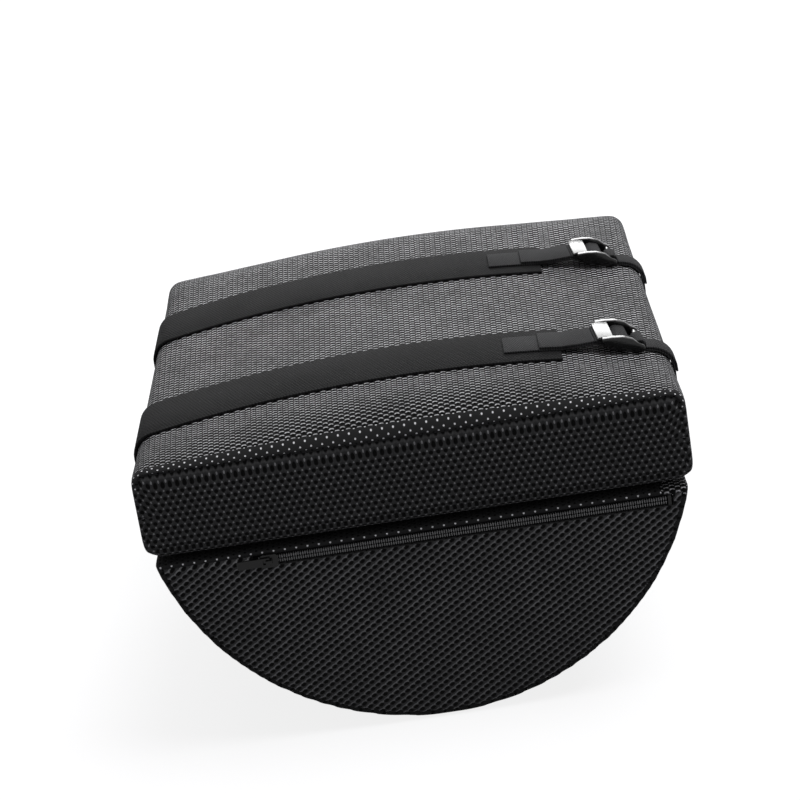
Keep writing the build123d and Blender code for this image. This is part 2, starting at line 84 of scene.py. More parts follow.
class Bench:
    """Edit-mode bench: primitives are added here and shaped with operators."""

    @staticmethod
    def clear() -> None:
        """Leaves edit mode and deselects everything."""
        if bpy.context.object is not None and bpy.context.object.mode != "OBJECT":
            bpy.ops.object.mode_set(mode="OBJECT")
        bpy.ops.object.select_all(action="DESELECT")

    @staticmethod
    def take(piece: bpy.types.Object) -> None:
        """Selects one piece alone and makes it active."""
        Bench.clear()
        piece.select_set(True)
        bpy.context.view_layer.objects.active = piece

    @staticmethod
    def named(name: str) -> bpy.types.Object:
        """Names the active object and its mesh."""
        piece = bpy.context.object
        piece.name = name
        piece.data.name = name
        return piece

    @staticmethod
    @contextmanager
    def edit(piece: bpy.types.Object) -> Iterator[None]:
        """Opens a piece in edit mode with nothing selected, for as long as the block lasts."""
        Bench.take(piece)
        bpy.ops.object.mode_set(mode="EDIT")
        bpy.ops.mesh.select_all(action="DESELECT")
        yield
        bpy.ops.object.mode_set(mode="OBJECT")

    @staticmethod
    def choose(piece: bpy.types.Object, kind: Element, test: Callable[[object], bool]) -> None:
        """Selects the elements of an open mesh that pass a test.

        Args:
            piece: The object that is in edit mode.
            kind: Whether edges or faces are selected.
            test: Says whether an element is wanted.
        """
        bpy.ops.mesh.select_mode(type=kind.value)
        bpy.ops.mesh.select_all(action="DESELECT")
        mesh = bmesh.from_edit_mesh(piece.data)
        for element in mesh.edges if kind is Element.EDGE else mesh.faces:
            if test(element):
                element.select_set(True)
        mesh.select_flush_mode()
        bmesh.update_edit_mesh(piece.data)

    @staticmethod
    def extrude(move: Point3) -> None:
        """Extrudes what is selected in the open mesh."""
        bpy.ops.mesh.extrude_region_move(TRANSFORM_OT_translate={"value": move})

    @staticmethod
    def face_out() -> None:
        """Turns every face of the open mesh outwards."""
        bpy.ops.mesh.select_all(action="SELECT")
        bpy.ops.mesh.normals_make_consistent(inside=False)

    @staticmethod
    def block(name: str, low: Vector, high: Vector) -> bpy.types.Object:
        """Adds a cube primitive that fills a box, with its place in its mesh."""
        Bench.clear()
        bpy.ops.mesh.primitive_cube_add(size=1.0, location=(low + high) / 2)
        piece = Bench.named(name)
        piece.scale = high - low
        bpy.ops.object.transform_apply(location=True, rotation=True, scale=True)
        return piece

    @staticmethod
    def slab(
        name: str, outline: list[Point2], start_y: float, end_y: float, round_edge: float
    ) -> bpy.types.Object:
        """Extrudes a closed outline across Y and rounds its edges.

        Args:
            name: Name of the piece.
            outline: Points in X and Z round the slab, in metres.
            start_y: Where the slab begins.
            end_y: Where it ends.
            round_edge: Radius of its rounded edges, or nought to leave them.

        Returns:
            The finished slab.
        """
        Bench.clear()
        bpy.ops.mesh.primitive_circle_add(vertices=len(outline), fill_type="NGON")
        piece = Bench.named(name)
        for vertex, (x, z) in zip(piece.data.vertices, outline):
            vertex.co = (x, start_y, z)
        with Bench.edit(piece):
            bpy.ops.mesh.select_all(action="SELECT")
            Bench.extrude((0.0, end_y - start_y, 0.0))
            Bench.face_out()
        if round_edge > 0:
            Bench.soften(piece, round_edge)
        return piece

    @staticmethod
    def soften(piece: bpy.types.Object, radius: float, segments: int = 3) -> None:
        """Rounds the sharp edges of a piece with an applied bevel and shades it smooth."""
        Bench.take(piece)
        bevel = piece.modifiers.new("Rounded edges", "BEVEL")
        bevel.width = radius
        bevel.segments = segments
        bevel.limit_method = "ANGLE"
        bevel.angle_limit = SHARP_ANGLE
        bpy.ops.object.modifier_apply(modifier=bevel.name)
        bpy.ops.object.shade_smooth_by_angle(angle=SMOOTH_ANGLE)

    @staticmethod
    def ribbon(
        name: str, path: list[Point2], middle_y: float, width: float, thickness: float
    ) -> bpy.types.Object:
        """Makes a flat strap by extruding an edge along a path, then gives it its thickness.

        Args:
            name: Name of the piece.
            path: Points in X and Z along the strap's middle layer.
            middle_y: Where the strap's middle lies along Y.
            width: Width of the strap.
            thickness: Thickness of the strap.

        Returns:
            The finished strap.
        """
        Bench.clear()
        bpy.ops.mesh.primitive_plane_add(size=1.0)
        piece = Bench.named(name)
        (x0, z0), (x1, z1) = path[0], path[1]
        corners = [
            (x, y, z)
            for y in (middle_y - width / 2, middle_y + width / 2)
            for x, z in ((x0, z0), (x1, z1))
        ]
        for vertex, corner in zip(piece.data.vertices, corners):
            vertex.co = corner

        def leading(edge: bmesh.types.BMEdge) -> bool:
            """Says whether an edge is the one that the path goes on from."""
            return all(math.dist((v.co.x, v.co.z), (x1, z1)) < SAME_PLACE for v in edge.verts)

        with Bench.edit(piece):
            Bench.choose(piece, Element.EDGE, leading)
            for (ax, az), (bx, bz) in zip(path[1:], path[2:]):
                Bench.extrude((bx - ax, 0.0, bz - az))
        solid = piece.modifiers.new("Thickness", "SOLIDIFY")
        solid.thickness = thickness
        solid.offset = 0.0
        solid.use_even_offset = True
        Bench.take(piece)
        bpy.ops.object.modifier_apply(modifier=solid.name)
        with Bench.edit(piece):
            Bench.face_out()
        Bench.soften(piece, thickness * RIBBON_ROUND, segments=2)
        return piece

    @staticmethod
    def join(name: str, pieces: list[bpy.types.Object]) -> bpy.types.Object:
        """Joins several meshes into one piece."""
        Bench.take(pieces[0])
        for other in pieces[1:]:
            other.select_set(True)
        bpy.ops.object.join()
        return Bench.named(name)


@dataclass(frozen=True)
class Nodes:
    """Short ways to lay out a shader node tree."""

    tree: bpy.types.NodeTree

    def add(self, kind: str, **values: object) -> bpy.types.Node:
        """Adds a node and sets its properties."""
        node = self.tree.nodes.new(kind)
        for name, value in values.items():
            setattr(node, name, value)
        return node

    def feed(self, source: object, target: bpy.types.NodeSocket) -> None:
        """Links a socket to another, or sets a plain value on it."""
        if isinstance(source, bpy.types.NodeSocket):
            self.tree.links.new(source, target)
        else:
            target.default_value = source

    def math(self, operation: str, first: object, second: object = 0.0) -> bpy.types.NodeSocket:
        """Adds a Math node and gives its result."""
        node = self.add("ShaderNodeMath", operation=operation)
        for socket, source in zip(node.inputs, (first, second)):
            self.feed(source, socket)
        return node.outputs[0]

    def scaled(self, value: object, low: float, gain: float) -> bpy.types.NodeSocket:
        """Adds a gain times a value to a lowest value."""
        return self.math("ADD", low, self.math("MULTIPLY", value, gain))

    def ramp(
        self, value: object, low: object, high: object, to_low: float = 0.0, to_high: float = 1.0
    ) -> bpy.types.NodeSocket:
        """Adds a smooth step from one value to another."""
        node = self.add("ShaderNodeMapRange", interpolation_type="SMOOTHSTEP")
        for socket, source in zip(node.inputs, (value, low, high, to_low, to_high)):
            self.feed(source, socket)
        return node.outputs[0]

    def blend(self, share: object, first: object, second: object) -> bpy.types.NodeSocket:
        """Mixes two colours."""
        node = self.add("ShaderNodeMix", data_type="RGBA")
        colours = [socket for socket in node.inputs if socket.type == "RGBA"]
        self.feed(share, node.inputs[0])
        for socket, source in zip(colours, (first, second)):
            self.feed(source, socket)
        return next(socket for socket in node.outputs if socket.type == "RGBA")


@dataclass(frozen=True)
class HoleShape:
    """A hole of the mesh: its rings as shares of its radius, and how far round its lip the painted
    highlight goes.
    """

    floor: float = 0.45
    inner: float = 0.72
    outer: float = 1.25
    crest: float = 1.8
    wide: float = 2.0
    # From here to full, round the far side of the ring, the lip takes the painted highlight.
    highlight_from: float = 0.3
    highlight_full: float = 0.85


@dataclass(frozen=True)
class RibShape:
    """A woven rib: how round its threads are, and how its shade varies: painted shade that falls in the
    valleys between threads, and random fuzz.
    """

    rib_power: float = 0.6
    pick_power: float = 0.7
    low_shade: float = 0.35
    shade_gain: float = 0.65
    fuzz_scale: float = 900.0
    low_fuzz: float = 0.6
    fuzz_gain: float = 0.8


@dataclass(frozen=True)
class LintShape:
    """Uneven tone over a surface, and the size of the lint on it."""

    broad_scale: float = 26.0
    broad_detail: float = 3.0
    broad_range: Point2 = (0.3, 0.7)
    tone_range: Point2 = (0.82, 1.12)
    fine_scale: float = 420.0
    speck_range: Point2 = (0.70, 0.80)


class Effects:
    """Shader node groups that several finishes share, each built once."""

    @staticmethod
    def fresh(
        name: str, takes: dict[str, float | None], gives: tuple[str, ...]
    ) -> tuple[Nodes, dict, dict]:
        """Starts a node group with named sockets.

        Args:
            name: Name of the group.
            takes: Default of each input by its name, or None for a vector.
            gives: Name of each output, all of them values.

        Returns:
            The group's tree, its inputs by name and the sockets that its outputs read.
        """
        tree = bpy.data.node_groups.new(name, "ShaderNodeTree")
        for label, default in takes.items():
            kind = "NodeSocketVector" if default is None else "NodeSocketFloat"
            socket = tree.interface.new_socket(label, in_out="INPUT", socket_type=kind)
            if default is not None:
                socket.default_value = default
        for label in gives:
            tree.interface.new_socket(label, in_out="OUTPUT", socket_type="NodeSocketFloat")
        nodes = Nodes(tree)
        inside = nodes.add("NodeGroupInput")
        outside = nodes.add("NodeGroupOutput")
        reads = {label: inside.outputs[label] for label in takes}
        writes = {label: outside.inputs[label] for label in gives}
        return nodes, reads, writes

    @staticmethod
    def hole_lattice() -> bpy.types.NodeTree:
        """Staggered holes of the air mesh: hole, the mask of the painted highlight on each far lip,
        height, and a number for each cell.
        """
        if "Hole lattice" in bpy.data.node_groups:
            return bpy.data.node_groups["Hole lattice"]
        shape = HoleShape()
        takes = {
            "Vector": None,
            "Pitch": 0.00405,
            "Row": 0.0035,
            "Hole radius": 0.00105,
            "Stretch": 1.0,
            "Slant": 0.0,
        }
        nodes, reads, writes = Effects.fresh("Hole lattice", takes, ("Hole", "Highlight", "Height", "Cell"))
        split = nodes.add("ShaderNodeSeparateXYZ")
        nodes.feed(reads["Vector"], split.inputs[0])
        along = nodes.math("DIVIDE", split.outputs["X"], reads["Pitch"])
        double = nodes.math("MULTIPLY", reads["Row"], 2.0)
        across = nodes.math("DIVIDE", split.outputs["Y"], double)
        places = []
        for shift in (0.0, 0.5):
            far = nodes.math("SUBTRACT", nodes.math("FRACT", nodes.math("ADD", along, shift)), 0.5)
            aside = nodes.math("SUBTRACT", nodes.math("FRACT", nodes.math("ADD", across, shift)), 0.5)
            far = nodes.math("MULTIPLY", far, reads["Pitch"])
            aside = nodes.math("MULTIPLY", aside, double)
            far = nodes.math("SUBTRACT", far, nodes.math("MULTIPLY", aside, reads["Slant"]))
            aside = nodes.math("DIVIDE", aside, reads["Stretch"])
            square = nodes.math(
                "ADD", nodes.math("MULTIPLY", far, far), nodes.math("MULTIPLY", aside, aside)
            )
            places.append((far, nodes.math("SQRT", square)))
        (far_even, even), (far_odd, odd) = places
        first = nodes.math("LESS_THAN", even, odd)
        second = nodes.math("SUBTRACT", 1.0, first)
        far = nodes.math(
            "ADD", nodes.math("MULTIPLY", far_even, first), nodes.math("MULTIPLY", far_odd, second)
        )
        near = nodes.math("MINIMUM", even, odd)
        floor, inner, outer, crest, wide = (
            nodes.math("MULTIPLY", reads["Hole radius"], share)
            for share in (shape.floor, shape.inner, shape.outer, shape.crest, shape.wide)
        )
        hole = nodes.ramp(near, inner, outer, 1.0, 0.0)
        ring = nodes.math(
            "MULTIPLY", nodes.ramp(near, inner, outer), nodes.ramp(near, outer, wide, 1.0, 0.0)
        )
        # The lip is the far side of each hole's ring: the mask where a painted highlight goes.
        facing = nodes.math("DIVIDE", far, nodes.math("MAXIMUM", near, TOUCHING))
        lip = nodes.math("MULTIPLY", ring, nodes.ramp(facing, shape.highlight_from, shape.highlight_full))
        height = nodes.ramp(near, floor, crest)
        cell = nodes.add("ShaderNodeTexWhiteNoise", noise_dimensions="2D")
        snapped = nodes.add("ShaderNodeCombineXYZ")
        column = nodes.math("ADD", along, nodes.math("MULTIPLY", first, 0.5))
        nodes.feed(nodes.math("FLOOR", column), snapped.inputs[0])
        nodes.feed(nodes.math("FLOOR", nodes.math("MULTIPLY", across, 2.0)), snapped.inputs[1])
        nodes.feed(snapped.outputs[0], cell.inputs["Vector"])
        results = {"Hole": hole, "Highlight": lip, "Height": height, "Cell": cell.outputs[0]}
        for label, source in results.items():
            nodes.feed(source, writes[label])
        return nodes.tree

    @staticmethod
    def woven_ribs() -> bpy.types.NodeTree:
        """Fine woven ribs of straps and tapes: a shade, with painted shade in the valleys between
        threads and random fuzz, and a height.
        """
        if "Woven ribs" in bpy.data.node_groups:
            return bpy.data.node_groups["Woven ribs"]
        shape = RibShape()
        takes = {"Vector": None, "Rib": 0.0012, "Pick": 0.0008}
        nodes, reads, writes = Effects.fresh("Woven ribs", takes, ("Shade", "Height"))
        split = nodes.add("ShaderNodeSeparateXYZ")
        nodes.feed(reads["Vector"], split.inputs[0])
        rib = nodes.math("DIVIDE", split.outputs["Y"], reads["Rib"])
        pick = nodes.math("DIVIDE", split.outputs["X"], reads["Pick"])
        step = nodes.math("MULTIPLY", nodes.math("MODULO", nodes.math("FLOOR", rib), 2.0), 0.5)
        waves = []
        for run, power in ((rib, shape.rib_power), (nodes.math("ADD", pick, step), shape.pick_power)):
            sine = nodes.math("SINE", nodes.math("MULTIPLY", run, math.pi))
            waves.append(nodes.math("POWER", nodes.math("ABSOLUTE", sine), power))
        height = nodes.math("MULTIPLY", *waves)
        fuzz = nodes.add("ShaderNodeTexNoise", noise_dimensions="2D")
        nodes.feed(reads["Vector"], fuzz.inputs["Vector"])
        fuzz.inputs["Scale"].default_value = shape.fuzz_scale
        shade = nodes.math(
            "MULTIPLY",
            nodes.scaled(height, shape.low_shade, shape.shade_gain),
            nodes.scaled(fuzz.outputs[0], shape.low_fuzz, shape.fuzz_gain),
        )
        nodes.feed(shade, writes["Shade"])
        nodes.feed(height, writes["Height"])
        return nodes.tree

    @staticmethod
    def lint() -> bpy.types.NodeTree:
        """Uneven tone and a little lint over a large surface."""
        if "Lint" in bpy.data.node_groups:
            return bpy.data.node_groups["Lint"]
        shape = LintShape()
        nodes, reads, writes = Effects.fresh("Lint", {"Vector": None}, ("Tone", "Speck"))
        broad = nodes.add("ShaderNodeTexNoise")
        broad.inputs["Scale"].default_value = shape.broad_scale
        broad.inputs["Detail"].default_value = shape.broad_detail
        fine = nodes.add("ShaderNodeTexNoise")
        fine.inputs["Scale"].default_value = shape.fine_scale
        for texture in (broad, fine):
            nodes.feed(reads["Vector"], texture.inputs["Vector"])
        tone = nodes.ramp(broad.outputs[0], *shape.broad_range, *shape.tone_range)
        nodes.feed(tone, writes["Tone"])
        nodes.feed(nodes.ramp(fine.outputs[0], *shape.speck_range), writes["Speck"])
        return nodes.tree


def surface(name: str) -> tuple[Nodes, bpy.types.Node, bpy.types.Material]:
    """Starts a material with a Principled shader.

    Args:
        name: Name of the material.

    Returns:
        The tree, the shader node and the material.
    """
    material = bpy.data.materials.new(name)
    material.use_nodes = True
    nodes = Nodes(material.node_tree)
    shader = next(node for node in material.node_tree.nodes if node.type == "BSDF_PRINCIPLED")
    return nodes, shader, material


def group(nodes: Nodes, tree: bpy.types.NodeTree, **values: object) -> bpy.types.Node:
    """Places a shared effect in a material and sets its inputs by name, with _ for a space."""
    node = nodes.add("ShaderNodeGroup", node_tree=tree)
    for name, value in values.items():
        nodes.feed(value, node.inputs[name.replace("_", " ")])
    return node


def emboss(nodes: Nodes, shader: bpy.types.Node, height: object, distance: float) -> None:
    """Raises a material's surface by a height, over a distance in metres."""
    bump = nodes.add("ShaderNodeBump")
    bump.inputs["Strength"].default_value = 1.0
    bump.inputs["Distance"].default_value = distance
    nodes.feed(height, bump.inputs["Height"])
    nodes.feed(bump.outputs[0], shader.inputs["Normal"])


def grey(value: float) -> tuple[float, float, float, float]:
    """Neutral colour of a linear value."""
    return (value, value, value * 1.04, 1.0)


@dataclass(frozen=True)
class MeshFinish:
    """Black air mesh with staggered holes and knots where its threads cross, coloured with painted
    light: a painted highlight on each hole's far lip, the hole colour as painted shade (set bright for
    painted glint dots on the rolled strips), and painted glints on the knots.
    """

    name: str
    ground: float = 0.014
    # Colour of the painted highlight on each hole's far lip.
    lip: float = 0.88
    # Colour of each hole: near black as painted shade inside it, near white as a painted glint dot on
    # the rolled strips.
    hole: float = 0.001
    hole_radius: float = 0.0013
    # Colour of the painted glints on the knots where the threads cross; nought leaves them out.
    knot_glint: float = 0.0
    knot_radius: float = 0.0005
    knot_row: float = 2 / 3
    pitch: float = 0.00405
    row: float = 0.0035
    stretch: float = 1.0
    slant: float = 0.0
    low_cell: float = 0.7
    cell_gain: float = 0.5
    rough: float = 0.8
    sheen: float = 0.06
    bump: float = 0.0004

    def make(self) -> bpy.types.Material:
        """Builds the material, which reads the cover's own map of the cloth."""
        nodes, shader, material = surface(self.name)
        cloth = nodes.add("ShaderNodeUVMap", uv_map="cloth").outputs[0]
        place = nodes.add("ShaderNodeTexCoord").outputs["Object"]
        spacing = {"Pitch": self.pitch, "Row": self.row}
        drawn = {"Hole_radius": self.hole_radius, "Stretch": self.stretch, "Slant": self.slant}
        lattice = group(nodes, Effects.hole_lattice(), Vector=cloth, **spacing, **drawn)
        lint = group(nodes, Effects.lint(), Vector=place)
        uneven = nodes.scaled(lattice.outputs["Cell"], self.low_cell, self.cell_gain)
        tone = nodes.math("MULTIPLY", lint.outputs["Tone"], uneven)
        # Painted highlight: each hole's far lip is blended towards the lip colour.
        share = nodes.math("MULTIPLY", lattice.outputs["Highlight"], tone)
        colour = nodes.blend(share, grey(self.ground), grey(self.lip))
        # Each hole takes the hole colour: painted shade inside it; on the rolled strips, a painted glint
        # dot.
        colour = nodes.blend(lattice.outputs["Hole"], colour, grey(self.hole))
        # Painted glints on the knots, from a lattice shifted along the rows.
        if self.knot_glint > 0:
            shift = nodes.add("ShaderNodeVectorMath", operation="ADD")
            nodes.feed(cloth, shift.inputs[0])
            shift.inputs[1].default_value = (0.0, self.row * self.knot_row, 0.0)
            moved = {"Vector": shift.outputs[0], "Hole_radius": self.knot_radius}
            knots = group(nodes, Effects.hole_lattice(), **moved, **spacing)
            share = nodes.math("MULTIPLY", knots.outputs["Hole"], tone)
            colour = nodes.blend(share, colour, grey(self.knot_glint))
        nodes.feed(colour, shader.inputs["Base Color"])
        shader.inputs["Roughness"].default_value = self.rough
        shader.inputs["Specular IOR Level"].default_value = self.sheen
        emboss(nodes, shader, lattice.outputs["Height"], self.bump)
        return material


@dataclass(frozen=True)
class WovenFinish:
    """Woven strap or tape, with ribs along it, in painted shade between its threads and a painted
    highlight on their ridges.
    """

    name: str
    colour: float
    rib: float
    pick: float
    # Share of the colour in the painted shade of the weave's valleys.
    valley_shade: float = 0.25
    # Share of the colour in the painted highlight on the weave's ridges.
    ridge_highlight: float = 1.6
    lint_colour: float = 0.18
    lint_share: float = 0.25
    rough: float = 0.75
    sheen: float = 0.02
    bump: float = 0.0004

    def make(self) -> bpy.types.Material:
        """Builds the material on Object coordinates."""
        nodes, shader, material = surface(self.name)
        place = nodes.add("ShaderNodeTexCoord").outputs["Object"]
        weave = group(nodes, Effects.woven_ribs(), Vector=place, Rib=self.rib, Pick=self.pick)
        lint = group(nodes, Effects.lint(), Vector=place)
        share = nodes.math("MULTIPLY", weave.outputs["Shade"], lint.outputs["Tone"])
        # Painted shade in the weave's valleys and a painted highlight on its ridges.
        colour = nodes.blend(share, grey(self.colour * self.valley_shade), grey(self.colour * self.ridge_highlight))
        specks = nodes.math("MULTIPLY", lint.outputs["Speck"], self.lint_share)
        nodes.feed(nodes.blend(specks, colour, grey(self.lint_colour)), shader.inputs["Base Color"])
        shader.inputs["Roughness"].default_value = self.rough
        shader.inputs["Specular IOR Level"].default_value = self.sheen
        emboss(nodes, shader, weave.outputs["Height"], self.bump)
        return material


@dataclass(frozen=True)
class MouldedFinish:
    """Moulded or cast black part with a fine skin and a little lint."""

    name: str
    colour: float
    rough: float
    sheen: float = 0.5
    grain: float = 0.00006
    skin_scale: float = 1500.0
    skin_range: Point2 = (0.2, 0.8)
    smoothest: float = 0.8
    roughest: float = 1.3
    lint_share: float = 0.3
    lint_gain: float = 3.0

    def make(self) -> bpy.types.Material:
        """Builds the material on Object coordinates."""
        nodes, shader, material = surface(self.name)
        place = nodes.add("ShaderNodeTexCoord").outputs["Object"]
        skin = nodes.add("ShaderNodeTexNoise")
        skin.inputs["Scale"].default_value = self.skin_scale
        nodes.feed(place, skin.inputs["Vector"])
        lint = group(nodes, Effects.lint(), Vector=place)
        specks = nodes.math("MULTIPLY", lint.outputs["Speck"], self.lint_share)
        colour = nodes.blend(specks, grey(self.colour), grey(self.colour * self.lint_gain))
        nodes.feed(colour, shader.inputs["Base Color"])
        worn = (self.rough * self.smoothest, self.rough * self.roughest)
        nodes.feed(nodes.ramp(skin.outputs[0], *self.skin_range, *worn), shader.inputs["Roughness"])
        shader.inputs["Specular IOR Level"].default_value = self.sheen
        emboss(nodes, shader, skin.outputs[0], self.grain)
        return material


def made(finish: MeshFinish | WovenFinish | MouldedFinish) -> bpy.types.Material:
    """Field of the palette that makes its material from a finish."""
    return field(default_factory=finish.make)


@dataclass
class Palette:
    """Every finish of the footrest, made once."""

    # One black air mesh on every panel; each copy's colours are painted light for how light falls on its
    # panel. The wrap's bright lips are a painted highlight.
    wrap: bpy.types.Material = made(MeshFinish("Air mesh, top"))
    # Pad ends: a lighter ground and painted glints on the knots.
    end: bpy.types.Material = made(
        MeshFinish(
            "Air mesh, pad ends", ground=0.048, lip=0.065, hole_radius=0.0012, knot_glint=0.3, bump=0.0006
        )
    )
    # Base ends: a lighter ground, a dimmer painted highlight on the lips, and painted glints on the
    # knots.
    base_end: bpy.types.Material = made(
        MeshFinish(
            "Air mesh, base ends",
            ground=0.055,
            lip=0.32,
            hole_radius=0.0011,
            knot_glint=0.25,
            stretch=1.5,
            slant=0.28,
            bump=0.0006,
        )
    )
    # Rolled strips along the pad's top seams: the bright hole dots are painted glints.
    roll: bpy.types.Material = made(
        MeshFinish(
            "Air mesh, pad roll",
            ground=0.025,
            lip=0.03,
            hole=0.95,
            hole_radius=0.0006,
            pitch=0.0054,
            bump=0.0001,
        )
    )
    # Rolled strip along the base's top edge: the bright hole dots are painted glints.
    base_roll: bpy.types.Material = made(
        MeshFinish(
            "Air mesh, base roll",
            ground=0.025,
            lip=0.03,
            hole=0.95,
            hole_radius=0.0006,
            pitch=0.0081,
            bump=0.0001,
        )
    )
    # The mesh without its painted highlight, as painted shade: on the base's top strip under the pad it
    # stands for the pad's shadow, and it also lines the end seams.
    edge: bpy.types.Material = made(
        MeshFinish("Air mesh, painted shade", ground=0.025, lip=0.04, hole_radius=0.0008)
    )
    band: bpy.types.Material = made(WovenFinish("Woven band", colour=0.016, rib=0.0022, pick=0.0018))
    webbing: bpy.types.Material = made(
        WovenFinish("Ribbed webbing", colour=0.04, rib=0.0018, pick=0.0014)
    )
    tape: bpy.types.Material = made(WovenFinish("Zip tape", colour=0.02, rib=0.0008, pick=0.0006))
    # The black nylon coil is set grey as a painted highlight for the glints on its teeth.
    coil: bpy.types.Material = made(MouldedFinish("Zip nylon", colour=0.15, rough=0.3))
    metal: bpy.types.Material = made(MouldedFinish("Zip enamel", colour=0.005, rough=0.2, sheen=0.2))
    buckle: bpy.types.Material = made(
        MouldedFinish("Gloss acetal", colour=0.008, rough=0.13, sheen=0.3)
    )


@dataclass(frozen=True)
class Stuffing:
    """How a cover is filled: a slack cover swells against its foam, held at its seams."""

    voxel: float = 0.0045
    pressure: float = 4.0
    stiffness: float = 12.0
    bending: float = 0.5
    mass: float = 0.3
    quality: int = 5
    frames: int = 20
    sink: float = 0.0004

    def remesh(self, piece: bpy.types.Object) -> None:
        """Gives a closed cover an even mesh."""
        Bench.take(piece)
        piece.data.remesh_voxel_size = self.voxel
        bpy.ops.object.voxel_remesh()

    def swell(
        self,
        piece: bpy.types.Object,
        held: Callable[[Vector, Vector], float],
        proud: Callable[[Vector, Vector], float],
    ) -> None:
        """Runs the cloth simulation and applies it.

        Args:
            piece: The closed cover, at the size of the filled form.
            held: How firmly a point is held, from 0 to 1, by its place and normal.
            proud: How far a point may stand out from the filled form.
        """
        mesh = piece.data
        normals = [vertex.normal.copy() for vertex in mesh.vertices]
        places = [vertex.co.copy() for vertex in mesh.vertices]
        grip = piece.vertex_groups.new(name="held")
        for index, (place, normal) in enumerate(zip(places, normals)):
            hold = held(place, normal)
            if hold > 0:
                grip.add([index], hold, "REPLACE")
        Bench.take(piece)
        cloth = piece.modifiers.new("Filling", "CLOTH")
        settings = cloth.settings
        settings.quality = self.quality
        settings.mass = self.mass
        settings.tension_stiffness = self.stiffness
        settings.compression_stiffness = self.stiffness
        settings.shear_stiffness = self.stiffness / 2
        settings.bending_stiffness = self.bending
        settings.use_pressure = True
        settings.uniform_pressure_force = self.pressure
        settings.vertex_group_mass = grip.name
        settings.effector_weights.gravity = 0.0
        cloth.collision_settings.use_collision = False
        scene = bpy.context.scene
        cloth.point_cache.frame_start = 1
        cloth.point_cache.frame_end = self.frames
        for step in range(1, self.frames + 1):
            scene.frame_set(step)
        bpy.ops.object.modifier_apply(modifier=cloth.name)
        scene.frame_set(1)
        for vertex, normal, place in zip(mesh.vertices, normals, places):
            out = (vertex.co - place).dot(normal)
            vertex.co = place + normal * max(-self.sink, min(out, proud(place, normal)))
        piece.vertex_groups.clear()


@dataclass
class ZipSlot:
    """Opening of a cover's end panel where the zip shows."""

    low: float
    high: float
    start: float = -0.095
    end: float = 0.140
    lip: float = 0.0004
    lip_share: float = 0.9
    depth: float = 0.0037

    def cuts(self) -> list[tuple[Point3, Point3]]:
        """Point and normal of each plane that cuts the opening's edges and the foot of its lip."""
        heights = (self.low, self.low + self.lip, self.high, self.high - self.lip)
        lengths = (self.start, self.start + self.lip, self.end, self.end - self.lip)
        level = [((0, 0, z), (0, 0, 1)) for z in heights]
        return level + [((x, 0, 0), (1, 0, 0)) for x in lengths]

    def holds(self, x: float, z: float) -> bool:
        """Says whether a point is on the opening's floor, inside its lip."""
        margin = self.lip * self.lip_share
        within = self.low + margin < z < self.high - margin
        return within and self.start + margin < x < self.end - margin


